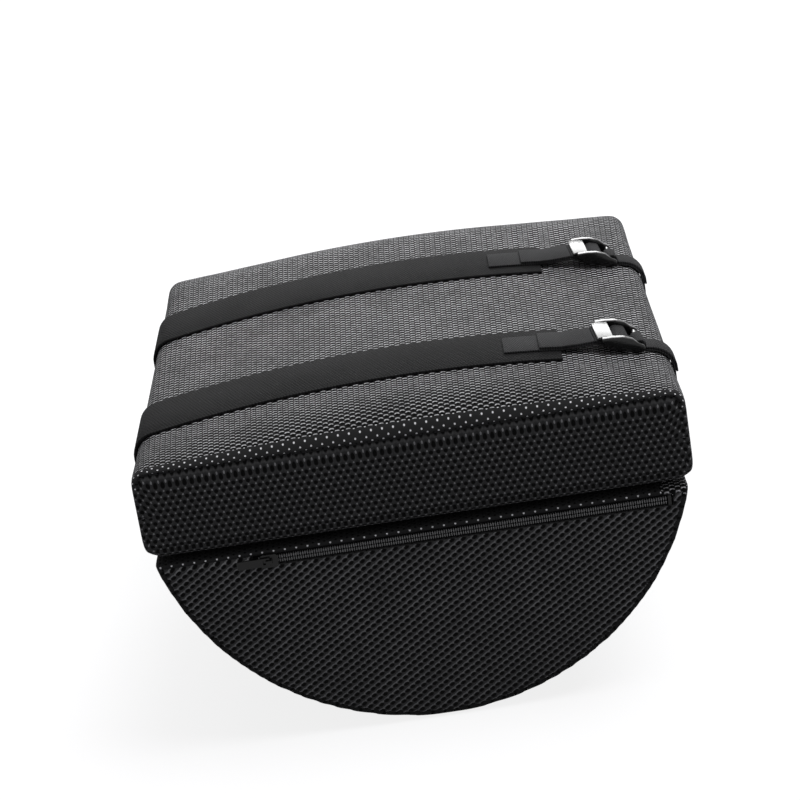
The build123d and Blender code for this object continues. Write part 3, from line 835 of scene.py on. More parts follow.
@dataclass
class Cover:
    """A stuffed cover: the shared way to finish the pad's and the base's."""

    name: str
    half_length: float
    slot: ZipSlot
    slot_side: int
    smoothing_loss: float = 0.0006
    end_depth: float = 0.006
    end_facing: float = 0.3
    end_round: float = 0.003
    end_segments: int = 3
    end_turn: float = 0.5
    hold_depth: float = 0.012
    hold_width: float = 0.009
    held_facing: float = 0.8
    bulge_facing: float = 0.9
    slot_reach: float = 0.008
    seam_inset: float = 0.0035
    seam_depth: float = 0.0013
    seam_width: float = 0.0010
    seam_zone: float = 0.011
    seam_facing: float = 0.15
    pucker: float = 0.0002
    pucker_pitch: float = 0.0085
    pucker_lean: float = 0.7
    pucker_run: float = 0.005

    def inside(self, x: float, z: float) -> float:
        """Distance of a point of the end face from the end's outline, inwards."""
        raise NotImplementedError

    def lay_cloth(self, piece: bpy.types.Object) -> None:
        """Maps the cloth's own lattice onto the cover and gives each panel its finish."""
        raise NotImplementedError

    def lengthwise(self, edge: bmesh.types.BMEdge) -> bool:
        """Says whether an edge of the plain block runs from end to end."""
        return abs(edge.verts[0].co.y - edge.verts[1].co.y) > self.half_length

    def round_ends(self, piece: bpy.types.Object) -> None:
        """Bevels the outline of both ends of the open block."""

        def on_outline(edge: bmesh.types.BMEdge) -> bool:
            """Says whether an edge parts an end face from a side."""
            if any(abs(v.co.y) <= self.half_length - TOUCHING for v in edge.verts):
                return False
            faces = edge.link_faces
            return len(faces) == 2 and abs(faces[0].normal.y - faces[1].normal.y) > self.end_turn

        Bench.choose(piece, Element.EDGE, on_outline)
        bpy.ops.mesh.bevel(offset=self.end_round, segments=self.end_segments, affect="EDGES")

    def seam_hold(self, place: Vector) -> float:
        """How firmly the end seams hold a point while the cover swells."""
        if abs(place.y) <= self.half_length - self.hold_depth:
            return 0.0
        away = abs(self.inside(place.x, place.z) - self.seam_inset)
        return max(0.0, 1.0 - away / self.hold_width)

    def is_end(self, polygon: bpy.types.MeshPolygon) -> bool:
        """Says whether a face belongs to an end panel, within its seam."""
        centre = polygon.center
        facing = abs(polygon.normal.y) > self.end_facing
        at_end = abs(centre.y) > self.half_length - self.end_depth
        return at_end and facing and self.inside(centre.x, centre.z) > self.seam_inset

    def finish_mesh(self, piece: bpy.types.Object) -> None:
        """Smooths the swollen cover, then adds the end seams and the zip's opening."""
        Bench.take(piece)
        smooth = piece.modifiers.new("Smooth", "SUBSURF")
        smooth.levels = 1
        smooth.render_levels = 1
        bpy.ops.object.modifier_apply(modifier=smooth.name)
        reach = self.half_length - self.end_depth

        def by_seam(face: bmesh.types.BMFace) -> bool:
            """Says whether a face is near an end seam."""
            centre = face.calc_center_median()
            return abs(centre.y) > reach and self.inside(centre.x, centre.z) < self.seam_zone

        with Bench.edit(piece):
            Bench.choose(piece, Element.FACE, by_seam)
            bpy.ops.mesh.subdivide(number_cuts=1, smoothness=0.0)
        normals = [vertex.normal.copy() for vertex in piece.data.vertices]
        for vertex, normal in zip(piece.data.vertices, normals):
            end = 1 if vertex.co.y > 0 else -1
            if abs(vertex.co.y) < reach or normal.y * end < self.seam_facing:
                continue
            away = self.inside(vertex.co.x, vertex.co.z) - self.seam_inset
            groove = self.seam_depth * math.exp(-((away / self.seam_width) ** 2))
            if away > 0:
                run = vertex.co.x + self.pucker_lean * vertex.co.z
                wave = math.sin(2 * math.pi * run / self.pucker_pitch)
                groove += self.pucker * wave * math.exp(-((away / self.pucker_run) ** 2))
            vertex.co.y -= end * groove
        self.open_slot(piece)
        for polygon in piece.data.polygons:
            polygon.use_smooth = True

    def open_slot(self, piece: bpy.types.Object) -> None:
        """Cuts the zip's opening into the end panel and presses its floor in."""
        side = self.slot_side
        reach = self.half_length - self.slot_reach

        def on_end(face: bmesh.types.BMFace) -> bool:
            """Says whether a face is on the end that has the zip."""
            facing = face.normal.y * side > self.end_facing
            return facing and face.calc_center_median().y * side > reach

        with Bench.edit(piece):
            for place, normal in self.slot.cuts():
                Bench.choose(piece, Element.FACE, on_end)
                bpy.ops.mesh.bisect(plane_co=place, plane_no=normal)
        floor = side * (self.half_length - self.slot.depth)
        for vertex in piece.data.vertices:
            if vertex.co.y * side > reach and self.slot.holds(vertex.co.x, vertex.co.z):
                vertex.co.y = floor


@dataclass
class Pad(Cover):
    """Upper cushion: a crowned foam pad in its own cover."""

    name: str = "pad_cushion"
    half_length: float = 0.170
    slot: ZipSlot = field(default_factory=lambda: ZipSlot(low=0.1277, high=0.1346))
    slot_side: int = 1
    half_width: float = 0.153
    floor: float = 0.1183
    edge: float = 0.176
    crown: float = 0.014
    seam_edge: float = 0.1743
    seam_crown: float = 0.0008
    shoulder: float = 0.012
    cut_shoulder: float = 0.0098
    shoulder_segments: int = 6
    foot: float = 0.009
    foot_segments: int = 5
    end_run: float = 0.045
    end_lift: float = 0.006
    draw_in: float = 0.0004
    corner: float = 0.009
    still_facing: float = 0.5
    end_bulge: float = 0.0018
    side_bulge: float = 0.0002
    columns: float = 1.03
    near_columns: float = 0.12
    rows: float = 0.92
    row_gain: float = 0.07
    near_rows: float = 1.45
    near_from: float = -0.13
    gather_run: float = 0.008
    gather: float = 0.5
    face_depth: float = 0.004
    edge_depth: float = 0.0038
    roll_above: float = 0.165
    piping: float = 0.0013
    under_facing: float = 0.45
    under_height: float = 0.02
    under_inset: float = 0.006

    @property
    def middle(self) -> float:
        """Height halfway up the pad's side."""
        return (self.floor + self.edge) / 2

    def inside(self, x: float, z: float) -> float:
        """Distance from the outline of the pad's end face, inwards."""
        low = self.floor + self.end_lift
        high = self.seam_edge + self.seam_crown
        across = abs(x) - (self.half_width - self.corner)
        up = abs(z - (low + high) / 2) - ((high - low) / 2 - self.corner)
        outer = math.hypot(max(across, 0.0), max(up, 0.0)) + min(max(across, up), 0.0)
        return self.corner - outer

    def rise(self, y: float) -> float:
        """Share of the full crown at a place along the pad."""
        past = min(max(self.half_length - abs(y), 0.0) / self.end_run, 1.0)
        return math.sqrt(1.0 - (1.0 - past) ** 2)

    def shaped(self, place: Vector) -> Vector:
        """Moves a point of the rounded block to the crowned form."""
        rise = self.rise(place.y)
        past = min((self.half_length - abs(place.y)) / self.end_run, 1.0)
        low = self.floor + self.end_lift * (1.0 - rise)
        edge = self.seam_edge + (self.edge - self.seam_edge) * rise
        crown = self.seam_crown + (self.crown - self.seam_crown) * rise
        radius = (self.half_width**2 + crown**2) / (2 * crown)
        over = math.sqrt(max(radius**2 - place.x**2, 0.0)) - (radius - crown)
        share = (place.z - self.floor) / (self.edge - self.floor)
        width = self.half_width - self.draw_in * past**2 * (3 - 2 * past)
        height = low + share * (edge + max(over, 0.0) - low)
        return Vector((place.x * width / self.half_width, place.y, height))

    def at_foot(self, edge: bmesh.types.BMEdge) -> bool:
        """Says whether an edge of the plain block is a long one at the bottom of a side."""
        low = max(v.co.z for v in edge.verts) < self.floor + TOUCHING
        outer = min(abs(v.co.x) for v in edge.verts) > self.half_width - TOUCHING
        return self.lengthwise(edge) and low and outer

    def at_shoulder(self, edge: bmesh.types.BMEdge) -> bool:
        """Says whether an edge of the plain block is a long one at the top of a side."""
        return self.lengthwise(edge) and edge.verts[0].co.z > self.middle

    def build(self, stuffing: Stuffing, palette: Palette) -> bpy.types.Object:
        """Models, fills and dresses the pad.

        Args:
            stuffing: How the cover is filled.
            palette: The footrest's finishes.

        Returns:
            The finished cushion.
        """
        grow = self.smoothing_loss
        low = Vector((-self.half_width - grow, -self.half_length - grow, self.floor))
        high = Vector((self.half_width + grow, self.half_length + grow, self.edge))
        piece = Bench.block(self.name, low, high)
        with Bench.edit(piece):
            Bench.choose(piece, Element.EDGE, self.at_shoulder)
            bpy.ops.mesh.bevel(
                offset=self.cut_shoulder, segments=self.shoulder_segments, affect="EDGES"
            )
            Bench.choose(piece, Element.EDGE, self.at_foot)
            bpy.ops.mesh.bevel(offset=self.foot, segments=self.foot_segments, affect="EDGES")
            self.round_ends(piece)
        stuffing.remesh(piece)
        for vertex in piece.data.vertices:
            vertex.co = self.shaped(vertex.co)
        piece.data.update()
        stuffing.swell(piece, self.held, self.proud)
        self.finish_mesh(piece)
        self.lay_cloth(piece)
        for material in (palette.wrap, palette.end, palette.roll, palette.edge):
            piece.data.materials.append(material)
        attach(piece, "pad")
        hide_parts("pad_foam_core", "pad_wrap_panel", "pad_near_end_panel", "pad_far_end_panel")
        return piece

    def held(self, place: Vector, normal: Vector) -> float:
        """Seams and the underside are held while the cover swells."""
        return 1.0 if normal.z < -self.held_facing else self.seam_hold(place)

    def proud(self, place: Vector, normal: Vector) -> float:
        """The ends may bulge a little, the rest stays under the straps, and the underside stays flat."""
        if normal.z < -self.still_facing:
            return 0.0
        return self.end_bulge if abs(normal.y) > self.bulge_facing else self.side_bulge

    def wrap_run(self, x: float, z: float) -> float:
        """Distance round the wrap from the middle of the top, signed like x."""
        turn_x = self.half_width - self.shoulder
        turn_z = self.edge - self.shoulder
        if abs(x) < turn_x and z > self.middle:
            return x
        side = math.copysign(1.0, x)
        if abs(x) >= turn_x and z > turn_z:
            angle = math.atan2(abs(x) - turn_x, z - turn_z)
            return side * (turn_x + self.shoulder * angle)
        run = turn_x + self.shoulder * math.pi / 2
        if abs(x) >= turn_x:
            return side * (run + turn_z - z)
        return side * (run + turn_z - self.floor + turn_x - abs(x))

    def narrowing(self, y: float) -> float:
        """How much closer the cloth's columns lie than in the loose cloth, most at the near end."""
        share = (self.half_length - y) / (2 * self.half_length)
        return self.columns + self.near_columns * share

    def drawn(self, y: float) -> float:
        """Place along the cloth, whose rows lie closer towards the near seam."""
        bend = self.near_from
        if y > 0:
            return self.rows * y
        if y > bend:
            return y * (self.rows + self.row_gain * y / bend)
        return bend * (self.rows + self.row_gain) + (y - bend) * self.near_rows

    def gathered(self, x: float, z: float) -> float:
        """Height on the end panel's cloth, which is stretched for a short way below the top seam."""
        below = self.inside(x, z) - self.seam_inset
        if z < self.middle or below > self.gather_run:
            return z
        return z - self.gather * (self.gather_run - max(below, 0.0))

    def lay_cloth(self, piece: bpy.types.Object) -> None:
        """Maps the wrap round the pad and the end panels flat, with the ends turned a quarter."""
        mesh = piece.data
        layer = mesh.uv_layers.new(name="cloth")
        face_y = self.half_length - self.face_depth
        for polygon in mesh.polygons:
            centre = polygon.center
            end = self.is_end(polygon)
            edge = not end and abs(centre.y) > self.half_length - self.edge_depth
            at_floor = centre.z < self.floor + self.under_height
            facing = centre.z < self.roll_above and abs(polygon.normal.y) > self.under_facing
            turned = at_floor and abs(centre.x) < self.half_width - self.under_inset
            below = edge and (facing or turned)
            rolled = Panel.WRAP
            # Along the top seams the rolled strip takes painted glint dots, and the seam itself the mesh
            # without its painted highlight.
            if centre.z > self.roll_above:
                away = self.inside(centre.x, centre.z) - self.seam_inset
                rolled = Panel.EDGE if away > -self.piping else Panel.ROLL
            panel = Panel.END if end or below else rolled if edge else Panel.WRAP
            polygon.material_index = panel.value
            for loop in polygon.loop_indices:
                place = mesh.vertices[mesh.loops[loop].vertex_index].co
                if end or below:
                    back = self.half_length - abs(place.y) if below and at_floor else 0.0
                    layer.data[loop].uv = (place.x, self.gathered(place.x, place.z) - back)
                else:
                    over = max(0.0, abs(place.y) - face_y)
                    drop = max(0.0, self.inside(place.x, place.z)) if over > 0 else 0.0
                    run = self.wrap_run(place.x, place.z) * self.narrowing(place.y)
                    layer.data[loop].uv = (self.drawn(place.y) + math.copysign(drop, place.y), run)


@dataclass
class Base(Cover):
    """Lower half-round block in its own cover, curved side down."""

    name: str = "base_rocker"
    half_length: float = 0.169
    slot: ZipSlot = field(default_factory=lambda: ZipSlot(low=0.1077, high=0.1146))
    slot_side: int = -1
    end_round: float = 0.0035
    half_width: float = 0.150
    height: float = 0.118
    half_flat: float = 0.010
    edge_cut: float = 0.0128
    edge_segments: int = 6
    sides: int = 160
    rest_strip: float = 0.002
    end_bulge: float = 0.0014
    roll_above: float = 0.113
    roll_facing: float = 0.6
    top_facing: float = 0.5
    top_edge: float = 0.016
    side_edge: float = 0.005
    wrap_from: float = 0.134
    end_rows: float = 0.927
    columns: float = 1.10

    @property
    def centre_z(self) -> float:
        """Height of the rocker's centre."""
        return (self.half_width**2 + self.height**2 - self.half_flat**2) / (2 * self.height)

    @property
    def radius(self) -> float:
        """Radius of the rocker."""
        return math.hypot(self.half_flat, self.centre_z)

    def inside(self, x: float, z: float) -> float:
        """Distance from the outline of the base's end face, inwards."""
        return min(self.radius - math.hypot(x, z - self.centre_z), self.height - z)

    def at_top(self, edge: bmesh.types.BMEdge) -> bool:
        """Says whether an edge of the cut cylinder is a long one at the top."""
        return all(v.co.z > self.height - TOUCHING for v in edge.verts) and self.lengthwise(edge)

    def build(self, stuffing: Stuffing, palette: Palette) -> bpy.types.Object:
        """Models, fills and dresses the base.

        Args:
            stuffing: How the cover is filled.
            palette: The footrest's finishes.

        Returns:
            The finished base.
        """
        Bench.clear()
        bpy.ops.mesh.primitive_cylinder_add(
            vertices=self.sides,
            radius=self.radius,
            depth=2 * (self.half_length + self.smoothing_loss),
            location=(0.0, 0.0, self.centre_z),
            rotation=(math.pi / 2, 0.0, 0.0),
        )
        piece = Bench.named(self.name)
        bpy.ops.object.transform_apply(location=True, rotation=True, scale=True)
        with Bench.edit(piece):
            for height, up in ((self.height, 1), (0, -1)):
                bpy.ops.mesh.select_all(action="SELECT")
                bpy.ops.mesh.bisect(
                    plane_co=(0, 0, height), plane_no=(0, 0, up), use_fill=True, clear_outer=True
                )
            Bench.choose(piece, Element.EDGE, self.at_top)
            bpy.ops.mesh.bevel(offset=self.edge_cut, segments=self.edge_segments, affect="EDGES")
            self.round_ends(piece)
        stuffing.remesh(piece)
        stuffing.swell(piece, self.held, self.proud)
        for vertex in piece.data.vertices:
            vertex.co.z = min(max(vertex.co.z, 0.0), self.height)
        self.finish_mesh(piece)
        self.lay_cloth(piece)
        for material in (palette.wrap, palette.base_end, palette.base_roll, palette.edge):
            piece.data.materials.append(material)
        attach(piece, "base")
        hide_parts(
            "base_foam_core",
            "base_top_panel",
            "base_curved_panel",
            "base_near_end_panel",
            "base_far_end_panel",
        )
        return piece

    def held(self, place: Vector, normal: Vector) -> float:
        """Seams, the top and the rest strip are held while the cover swells."""
        flat = normal.z > self.held_facing or place.z < self.rest_strip
        return 1.0 if flat else self.seam_hold(place)

    def proud(self, place: Vector, normal: Vector) -> float:
        """The ends may bulge a little, and the top and the rest strip stay flat."""
        return self.end_bulge if abs(normal.y) > self.bulge_facing else 0.0

    def lay_cloth(self, piece: bpy.types.Object) -> None:
        """Maps the wrap round the curve, the top flat, and the end panels upright."""
        mesh = piece.data
        layer = mesh.uv_layers.new(name="cloth")
        for polygon in mesh.polygons:
            centre = polygon.center
            end = self.is_end(polygon)
            top = polygon.normal.z > self.top_facing
            margin = self.top_edge if top else self.side_edge
            edge = not end and abs(centre.y) > self.half_length - margin
            # Near the ends, the top strip under the pad and the strip by the end seams take the mesh
            # without its painted highlight; under the pad it is a painted shadow of the pad. The toe
            # corner, where the key light falls, keeps the wrap's painted highlight, and the rolled edge
            # takes painted glint dots.
            rolled = Panel.EDGE
            if centre.z > self.roll_above and centre.x > self.wrap_from:
                rolled = Panel.WRAP
            elif centre.z > self.roll_above and polygon.normal.z < self.roll_facing:
                rolled = Panel.ROLL
            panel = Panel.END if end else rolled if edge else Panel.WRAP
            polygon.material_index = panel.value
            for loop in polygon.loop_indices:
                place = mesh.vertices[mesh.loops[loop].vertex_index].co
                if end:
                    spot = (place.z * self.end_rows, place.x * self.columns)
                elif top or centre.z > self.roll_above:
                    drop = math.copysign(self.height - place.z, place.y)
                    spot = (place.y + drop, place.x * self.columns)
                else:
                    turn = math.atan2(place.x, self.centre_z - place.z)
                    spot = (place.y, self.radius * turn)
                layer.data[loop].uv = spot


@dataclass(frozen=True)
class LadderLock:
    """Side views of the buckle and its webbing, as places along and above its fixed bar in metres."""

    arch: tuple[Point2, ...] = (
        (0.0225, 0.0032),
        (0.0170, 0.00475),
        (0.01125, 0.0057),
        (0.0055, 0.0049),
        (0.0015, 0.0028),
    )
    heel_angles: tuple[float, ...] = (2.2, 2.7, math.pi, 3.6, 4.2, 4.7)
    heel_radius: float = 0.0026
    sole: tuple[Point2, ...] = ((0.0170, -0.0026), (0.0225, 0.0012))
    tab: tuple[Point2, ...] = (
        (0.0160, 0.0027),
        (0.0225, 0.0012),
        (0.0247, 0.0012),
        (0.0247, 0.0022),
        (0.0225, 0.0032),
        (0.0160, 0.0047),
    )
    tab_round: float = 0.0005
    rail_width: float = 0.0042
    rail_round: float = 0.0006
    room: float = 0.0005
    bar_radius: float = 0.0018
    bar_sides: int = 16
    middle_bar: Point2 = (0.0095, 0.0006)
    middle_half: float = 0.0017
    middle_radius: float = 0.0013
    mouth: float = 0.0258
    lower_layer: float = -0.00143
    upper_layer: float = -0.00003
    thread_in: tuple[float, ...] = (0.0255, 0.0180, 0.0112, 0.0078)
    thread_turn: Point2 = (0.0078, 0.0006)
    thread_radius: float = 0.00203
    thread_over: tuple[Point2, ...] = (
        (0.0078, 0.00263),
        (0.0112, 0.00263),
        (0.0126, 0.0021),
        (0.0136, 0.0010),
        (0.0150, 0.0002),
    )
    thread_out: tuple[float, ...] = (0.0170, 0.0255)

    def rail(self) -> list[Point2]:
        """Outline of a rail: its arch, its round heel and its sole."""
        radius = self.heel_radius
        heel = [(radius * math.cos(a), radius * math.sin(a)) for a in self.heel_angles]
        return [*self.arch, *heel, *self.sole]

    def fixed_bar(self) -> list[Point2]:
        """Outline of the round bar that the toe webbing holds."""
        step = 2 * math.pi / self.bar_sides
        angles = [i * step for i in range(self.bar_sides)]
        return [(self.bar_radius * math.cos(a), self.bar_radius * math.sin(a)) for a in angles]

    def threaded_bar(self) -> list[Point2]:
        """Outline of the flat middle bar with its round edges."""
        step = 2 * math.pi / self.bar_sides
        outline = []
        for i in range(self.bar_sides):
            cos, sin = math.cos((i + 0.5) * step), math.sin((i + 0.5) * step)
            along = math.copysign(self.middle_half, cos) + self.middle_radius * cos
            outline.append((self.middle_bar[0] + along, self.middle_bar[1] + self.middle_radius * sin))
        return outline

    def thread(self, steps: int) -> list[Point2]:
        """Path of the webbing round the middle bar."""
        path = [(u, self.lower_layer) for u in self.thread_in]
        for i in range(1, steps):
            angle = -math.pi / 2 - math.pi * i / steps
            along, up = math.cos(angle), math.sin(angle)
            path.append(
                (
                    self.thread_turn[0] + self.thread_radius * along,
                    self.thread_turn[1] + self.thread_radius * up,
                )
            )
        return path + [*self.thread_over] + [(u, self.upper_layer) for u in self.thread_out]


@dataclass
class Strap:
    """One strap over the pad: wide band, webbing, and the ladder-lock buckle near the toe edge."""

    side: str
    middle_y: float
    pad: Pad
    base: Base
    lock: LadderLock = LadderLock()
    clearance: float = 0.0003
    layer_gap: float = 0.0001
    band_width: float = 0.050
    band_thickness: float = 0.0016
    band_end: float = 0.092
    webbing_width: float = 0.025
    webbing_thickness: float = 0.0013
    lap_start: float = 0.060
    lap_spans: int = 5
    tail_end: float = 0.080
    bend_start: float = 0.078
    drop: float = 0.1238
    sewn: float = 0.020
    sewn_gap: float = 0.0001
    bar_x: float = 0.1355
    bar_z: float = 0.182565
    tilt: float = math.radians(16.0)
    fold_start: float = 0.004
    fold_drop: float = 0.012
    toe_width: float = 0.015
    toe_shift: float = -0.005
    loop_room: float = 0.0007
    loop_points: int = 14
    yaw: float = math.radians(3.0)
    yaw_back: float = 0.027
    yaw_front: float = 0.003
    yaw_fade: float = 0.026
    toe_fade: float = 0.009
    reach_back: float = 0.038
    reach_front: float = 0.009
    steps: int = 8
    span: float = 0.006

    @property
    def crown_radius(self) -> float:
        """Radius of the pad's full crown."""
        return (self.pad.half_width**2 + self.pad.crown**2) / (2 * self.pad.crown)

    @property
    def crown_centre(self) -> float:
        """Height of the crown's centre."""
        return self.pad.edge + self.pad.crown - self.crown_radius

    def over(self, x: float, height: float) -> Point2:
        """Point at a height over the pad's crown."""
        radius = self.crown_radius + height
        return (x, self.crown_centre + math.sqrt(radius**2 - x**2))

    def buckle_point(self, u: float, w: float) -> Point2:
        """Point at a place in the buckle's own tilted frame, in metres."""
        cos, sin = math.cos(self.tilt), math.sin(self.tilt)
        return (self.bar_x - u * cos + w * sin, self.bar_z + u * sin + w * cos)

    def round_side(self, height: float, side: int, start_x: float) -> list[Point2]:
        """Path from the crown at start_x over the pad's shoulder and down its side."""
        fillet_x = self.pad.half_width - self.pad.shoulder
        reach = self.crown_radius - self.pad.shoulder
        fillet_z = self.crown_centre + math.sqrt(reach**2 - fillet_x**2)
        turn = math.atan2(fillet_x, fillet_z - self.crown_centre)
        radius = self.pad.shoulder + height
        top_x = fillet_x + radius * math.sin(turn)
        spans = max(2, int(abs(top_x - side * start_x) / self.span))
        run = side * top_x - start_x
        path = [self.over(start_x + run * i / spans, height) for i in range(spans)]
        for i in range(self.steps + 1):
            angle = turn + (math.pi / 2 - turn) * i / self.steps
            x = side * (fillet_x + radius * math.sin(angle))
            path.append((x, fillet_z + radius * math.cos(angle)))
        return path

    def down_leg(self, height: float, side: int, lift: float) -> list[Point2]:
        """Path from the pad's side to the sewn end on the base's curve."""
        x, z = self.pad.half_width + height, self.drop
        inner = self.base.radius + lift
        reach = math.hypot(x, z - self.base.centre_z)
        tangent = math.atan2(z - self.base.centre_z, x) - math.acos(min(1.0, inner / reach))
        path = [(side * x, z)]
        for i in range(self.steps + 1):
            angle = tangent - self.sewn / self.base.radius * i / self.steps
            height_z = self.base.centre_z + inner * math.sin(angle)
            path.append((side * inner * math.cos(angle), height_z))
        return path

    def pull_aside(self, piece: bpy.types.Object) -> None:
        """Turns the buckle a little on the pad, with the webbing that runs into it."""
        low, high = self.bar_x - self.yaw_back, self.bar_x + self.yaw_front
        for vertex in piece.data.vertices:
            x, y = vertex.co.x - self.bar_x, vertex.co.y - self.middle_y
            behind = (low - vertex.co.x) / self.yaw_fade
            ahead = (vertex.co.x - high) / self.toe_fade
            share = max(0.0, 1.0 - max(behind, ahead, 0.0))
            angle = self.yaw * share * share * (3 - 2 * share)
            reach = max(-self.reach_back, min(x, self.reach_front))
            vertex.co.x += reach * (math.cos(angle) - 1.0) - y * math.sin(angle)
            vertex.co.y += reach * math.sin(angle) + y * (math.cos(angle) - 1.0)
        piece.data.update()

    def dress(
        self, piece: bpy.types.Object, finish: bpy.types.Material, body: str, slot: str, *nodes: str
    ) -> None:
        """Gives a piece its finish, its body and the nodes that it stands for."""
        piece.data.materials.append(finish)
        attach(piece, body)
        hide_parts(*nodes)

    def webbing(self, label: str, path: list[Point2]) -> bpy.types.Object:
        """Models a full-width run of webbing, turned with the buckle."""
        piece = Bench.ribbon(
            f"{self.side}_{label}", path, self.middle_y, self.webbing_width, self.webbing_thickness
        )
        self.pull_aside(piece)
        return piece

    def build_band(self, palette: Palette) -> None:
        """Models the wide band from the base's heel side over the pad to its cut end."""
        height = self.clearance + self.band_thickness / 2
        path = self.round_side(height, -1, self.band_end)
        path += self.down_leg(height, -1, self.sewn_gap + self.band_thickness / 2)
        name = f"{self.side}_wide_band"
        band = Bench.ribbon(name, path, self.middle_y, self.band_width, self.band_thickness)
        self.dress(band, palette.band, "base", "band", f"{self.side}_band")

    def build_sewn_webbing(self, palette: Palette) -> None:
        """Models the webbing on the band and its tail, which both run into the buckle."""
        load = self.clearance + self.band_thickness + self.layer_gap + self.webbing_thickness / 2
        tail = load + self.webbing_thickness + self.layer_gap
        for label, start, height, leg in (
            ("load_webbing", self.lap_start, load, self.lock.lower_layer),
            ("webbing_tail", self.tail_end, tail, self.lock.upper_layer),
        ):
            step = (self.band_end - start) / self.lap_spans
            path = [self.over(start + step * i, height) for i in range(self.lap_spans + 1)]
            last, mouth = Vector(path[-1]), Vector(self.buckle_point(self.lock.mouth, leg))
            path += [tuple(last.lerp(mouth, i / self.steps)) for i in range(1, self.steps + 1)]
            piece = self.webbing(f"{label}_piece", path)
            piece.data.materials.append(palette.webbing)
            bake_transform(piece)
            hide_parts(f"{self.side}_{label}")

    def build_threaded_webbing(self, palette: Palette) -> None:
        """Models the webbing round the buckle's middle bar."""
        path = [self.buckle_point(u, w) for u, w in self.lock.thread(self.steps)]
        piece = self.webbing("threaded_piece", path)
        body = f"{self.side}_buckle"
        self.dress(piece, palette.webbing, body, "webbing", f"{self.side}_threaded_webbing")

    def build_toe_webbing(self, palette: Palette) -> None:
        """Models the webbing from the base's toe side round the buckle's fixed bar and back."""
        half = self.webbing_thickness / 2
        low = self.clearance + half
        high = low + self.webbing_thickness + self.layer_gap
        path = self.down_leg(low, 1, self.sewn_gap + half)[::-1]
        path += self.round_side(low, 1, self.bar_x)[:0:-1]
        radius = self.lock.bar_radius + self.loop_room + half
        for i in range(self.loop_points):
            angle = -math.pi / 2 - math.pi * i / self.steps
            x = self.bar_x + radius * math.cos(angle)
            path.append((x, self.bar_z + radius * math.sin(angle)))
        path += self.round_side(high, 1, self.bar_x + self.fold_start)[:-1]
        path.append((self.pad.half_width + high, self.pad.edge - self.fold_drop))
        middle_y = self.middle_y + self.toe_shift
        name = f"{self.side}_toe_piece"
        piece = Bench.ribbon(name, path, middle_y, self.toe_width, self.webbing_thickness)
        self.pull_aside(piece)
        self.dress(piece, palette.webbing, "base", "webbing", f"{self.side}_toe_webbing")

    def build_buckle(self, palette: Palette) -> None:
        """Models the ladder lock: two arched rails, two bars and the tab."""
        lock = self.lock
        inner = self.webbing_width / 2 + lock.room
        outer = inner + lock.rail_width
        reach = inner + lock.room
        shapes = [
            ("rail", lock.rail(), inner, outer, lock.rail_round),
            ("rail", lock.rail(), -outer, -inner, lock.rail_round),
            ("bar", lock.fixed_bar(), -reach, reach, 0.0),
            ("bar", lock.threaded_bar(), -reach, reach, 0.0),
            ("bar", lock.tab, -reach, reach, lock.tab_round),
        ]
        parts = []
        for name, outline, low, high, edge in shapes:
            points = [self.buckle_point(u, w) for u, w in outline]
            parts.append(Bench.slab(name, points, self.middle_y + low, self.middle_y + high, edge))
        buckle = Bench.join(f"{self.side}_ladder_lock", parts)
        self.pull_aside(buckle)
        body = f"{self.side}_buckle"
        self.dress(buckle, palette.buckle, body, "buckle", f"{self.side}_buckle")

    def build(self, palette: Palette) -> None:
        """Models and dresses the whole strap."""
        self.build_band(palette)
        self.build_sewn_webbing(palette)
        self.build_threaded_webbing(palette)
        self.build_toe_webbing(palette)
        self.build_buckle(palette)


@dataclass
class Zip:
    """A zip: two rows of coil on their tapes, stops, slider and pull."""

    owner: str
    face_y: float
    out: int
    chain_z: float
    seam: int
    start: float = -0.092
    end: float = 0.137
    pitch: float = 0.0013
    gap: float = 0.0002
    seat: float = 0.0025
    coil_width: float = 0.0019
    coil_height: float = 0.0022
    tooth_share: float = 0.58
    tooth_round: float = 0.0004

    def build(self, palette: Palette) -> None:
        """Models the chain and dresses the zip's other nodes."""
        floor = self.face_y - self.out * self.seat
        depths = sorted((floor, floor + self.out * self.coil_height))
        for row, side in (("upper", self.seam), ("lower", -self.seam)):
            edges = (side * self.gap, side * (self.gap + self.coil_width))
            heights = sorted(self.chain_z + edge for edge in edges)
            tooth = Bench.block(
                f"{self.owner}_{row}_chain",
                Vector((self.start, depths[0], heights[0])),
                Vector((self.start + self.pitch * self.tooth_share, depths[1], heights[1])),
            )
            Bench.soften(tooth, self.tooth_round, segments=2)
            Bench.take(tooth)
            repeat = tooth.modifiers.new("Chain", "ARRAY")
            repeat.count = int((self.end - self.start) / self.pitch)
            repeat.use_relative_offset = False
            repeat.use_constant_offset = True
            repeat.constant_offset_displace = (self.pitch, 0.0, 0.0)
            bpy.ops.object.modifier_apply(modifier=repeat.name)
            tooth.data.materials.append(palette.coil)
            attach(tooth, self.owner)
            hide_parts(f"{self.owner}_zip_{row}_coil")
            Zip.paint(f"{self.owner}_zip_{row}_tape", palette.tape)
        for piece in ("stops", "slider", "pull"):
            Zip.paint(f"{self.owner}_zip_{piece}", palette.metal)

    @staticmethod
    def paint(name: str, finish: bpy.types.Material) -> None:
        """Gives a carried-over node its finish."""
        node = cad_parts[name]
        node.data.materials.clear()
        node.data.materials.append(finish)


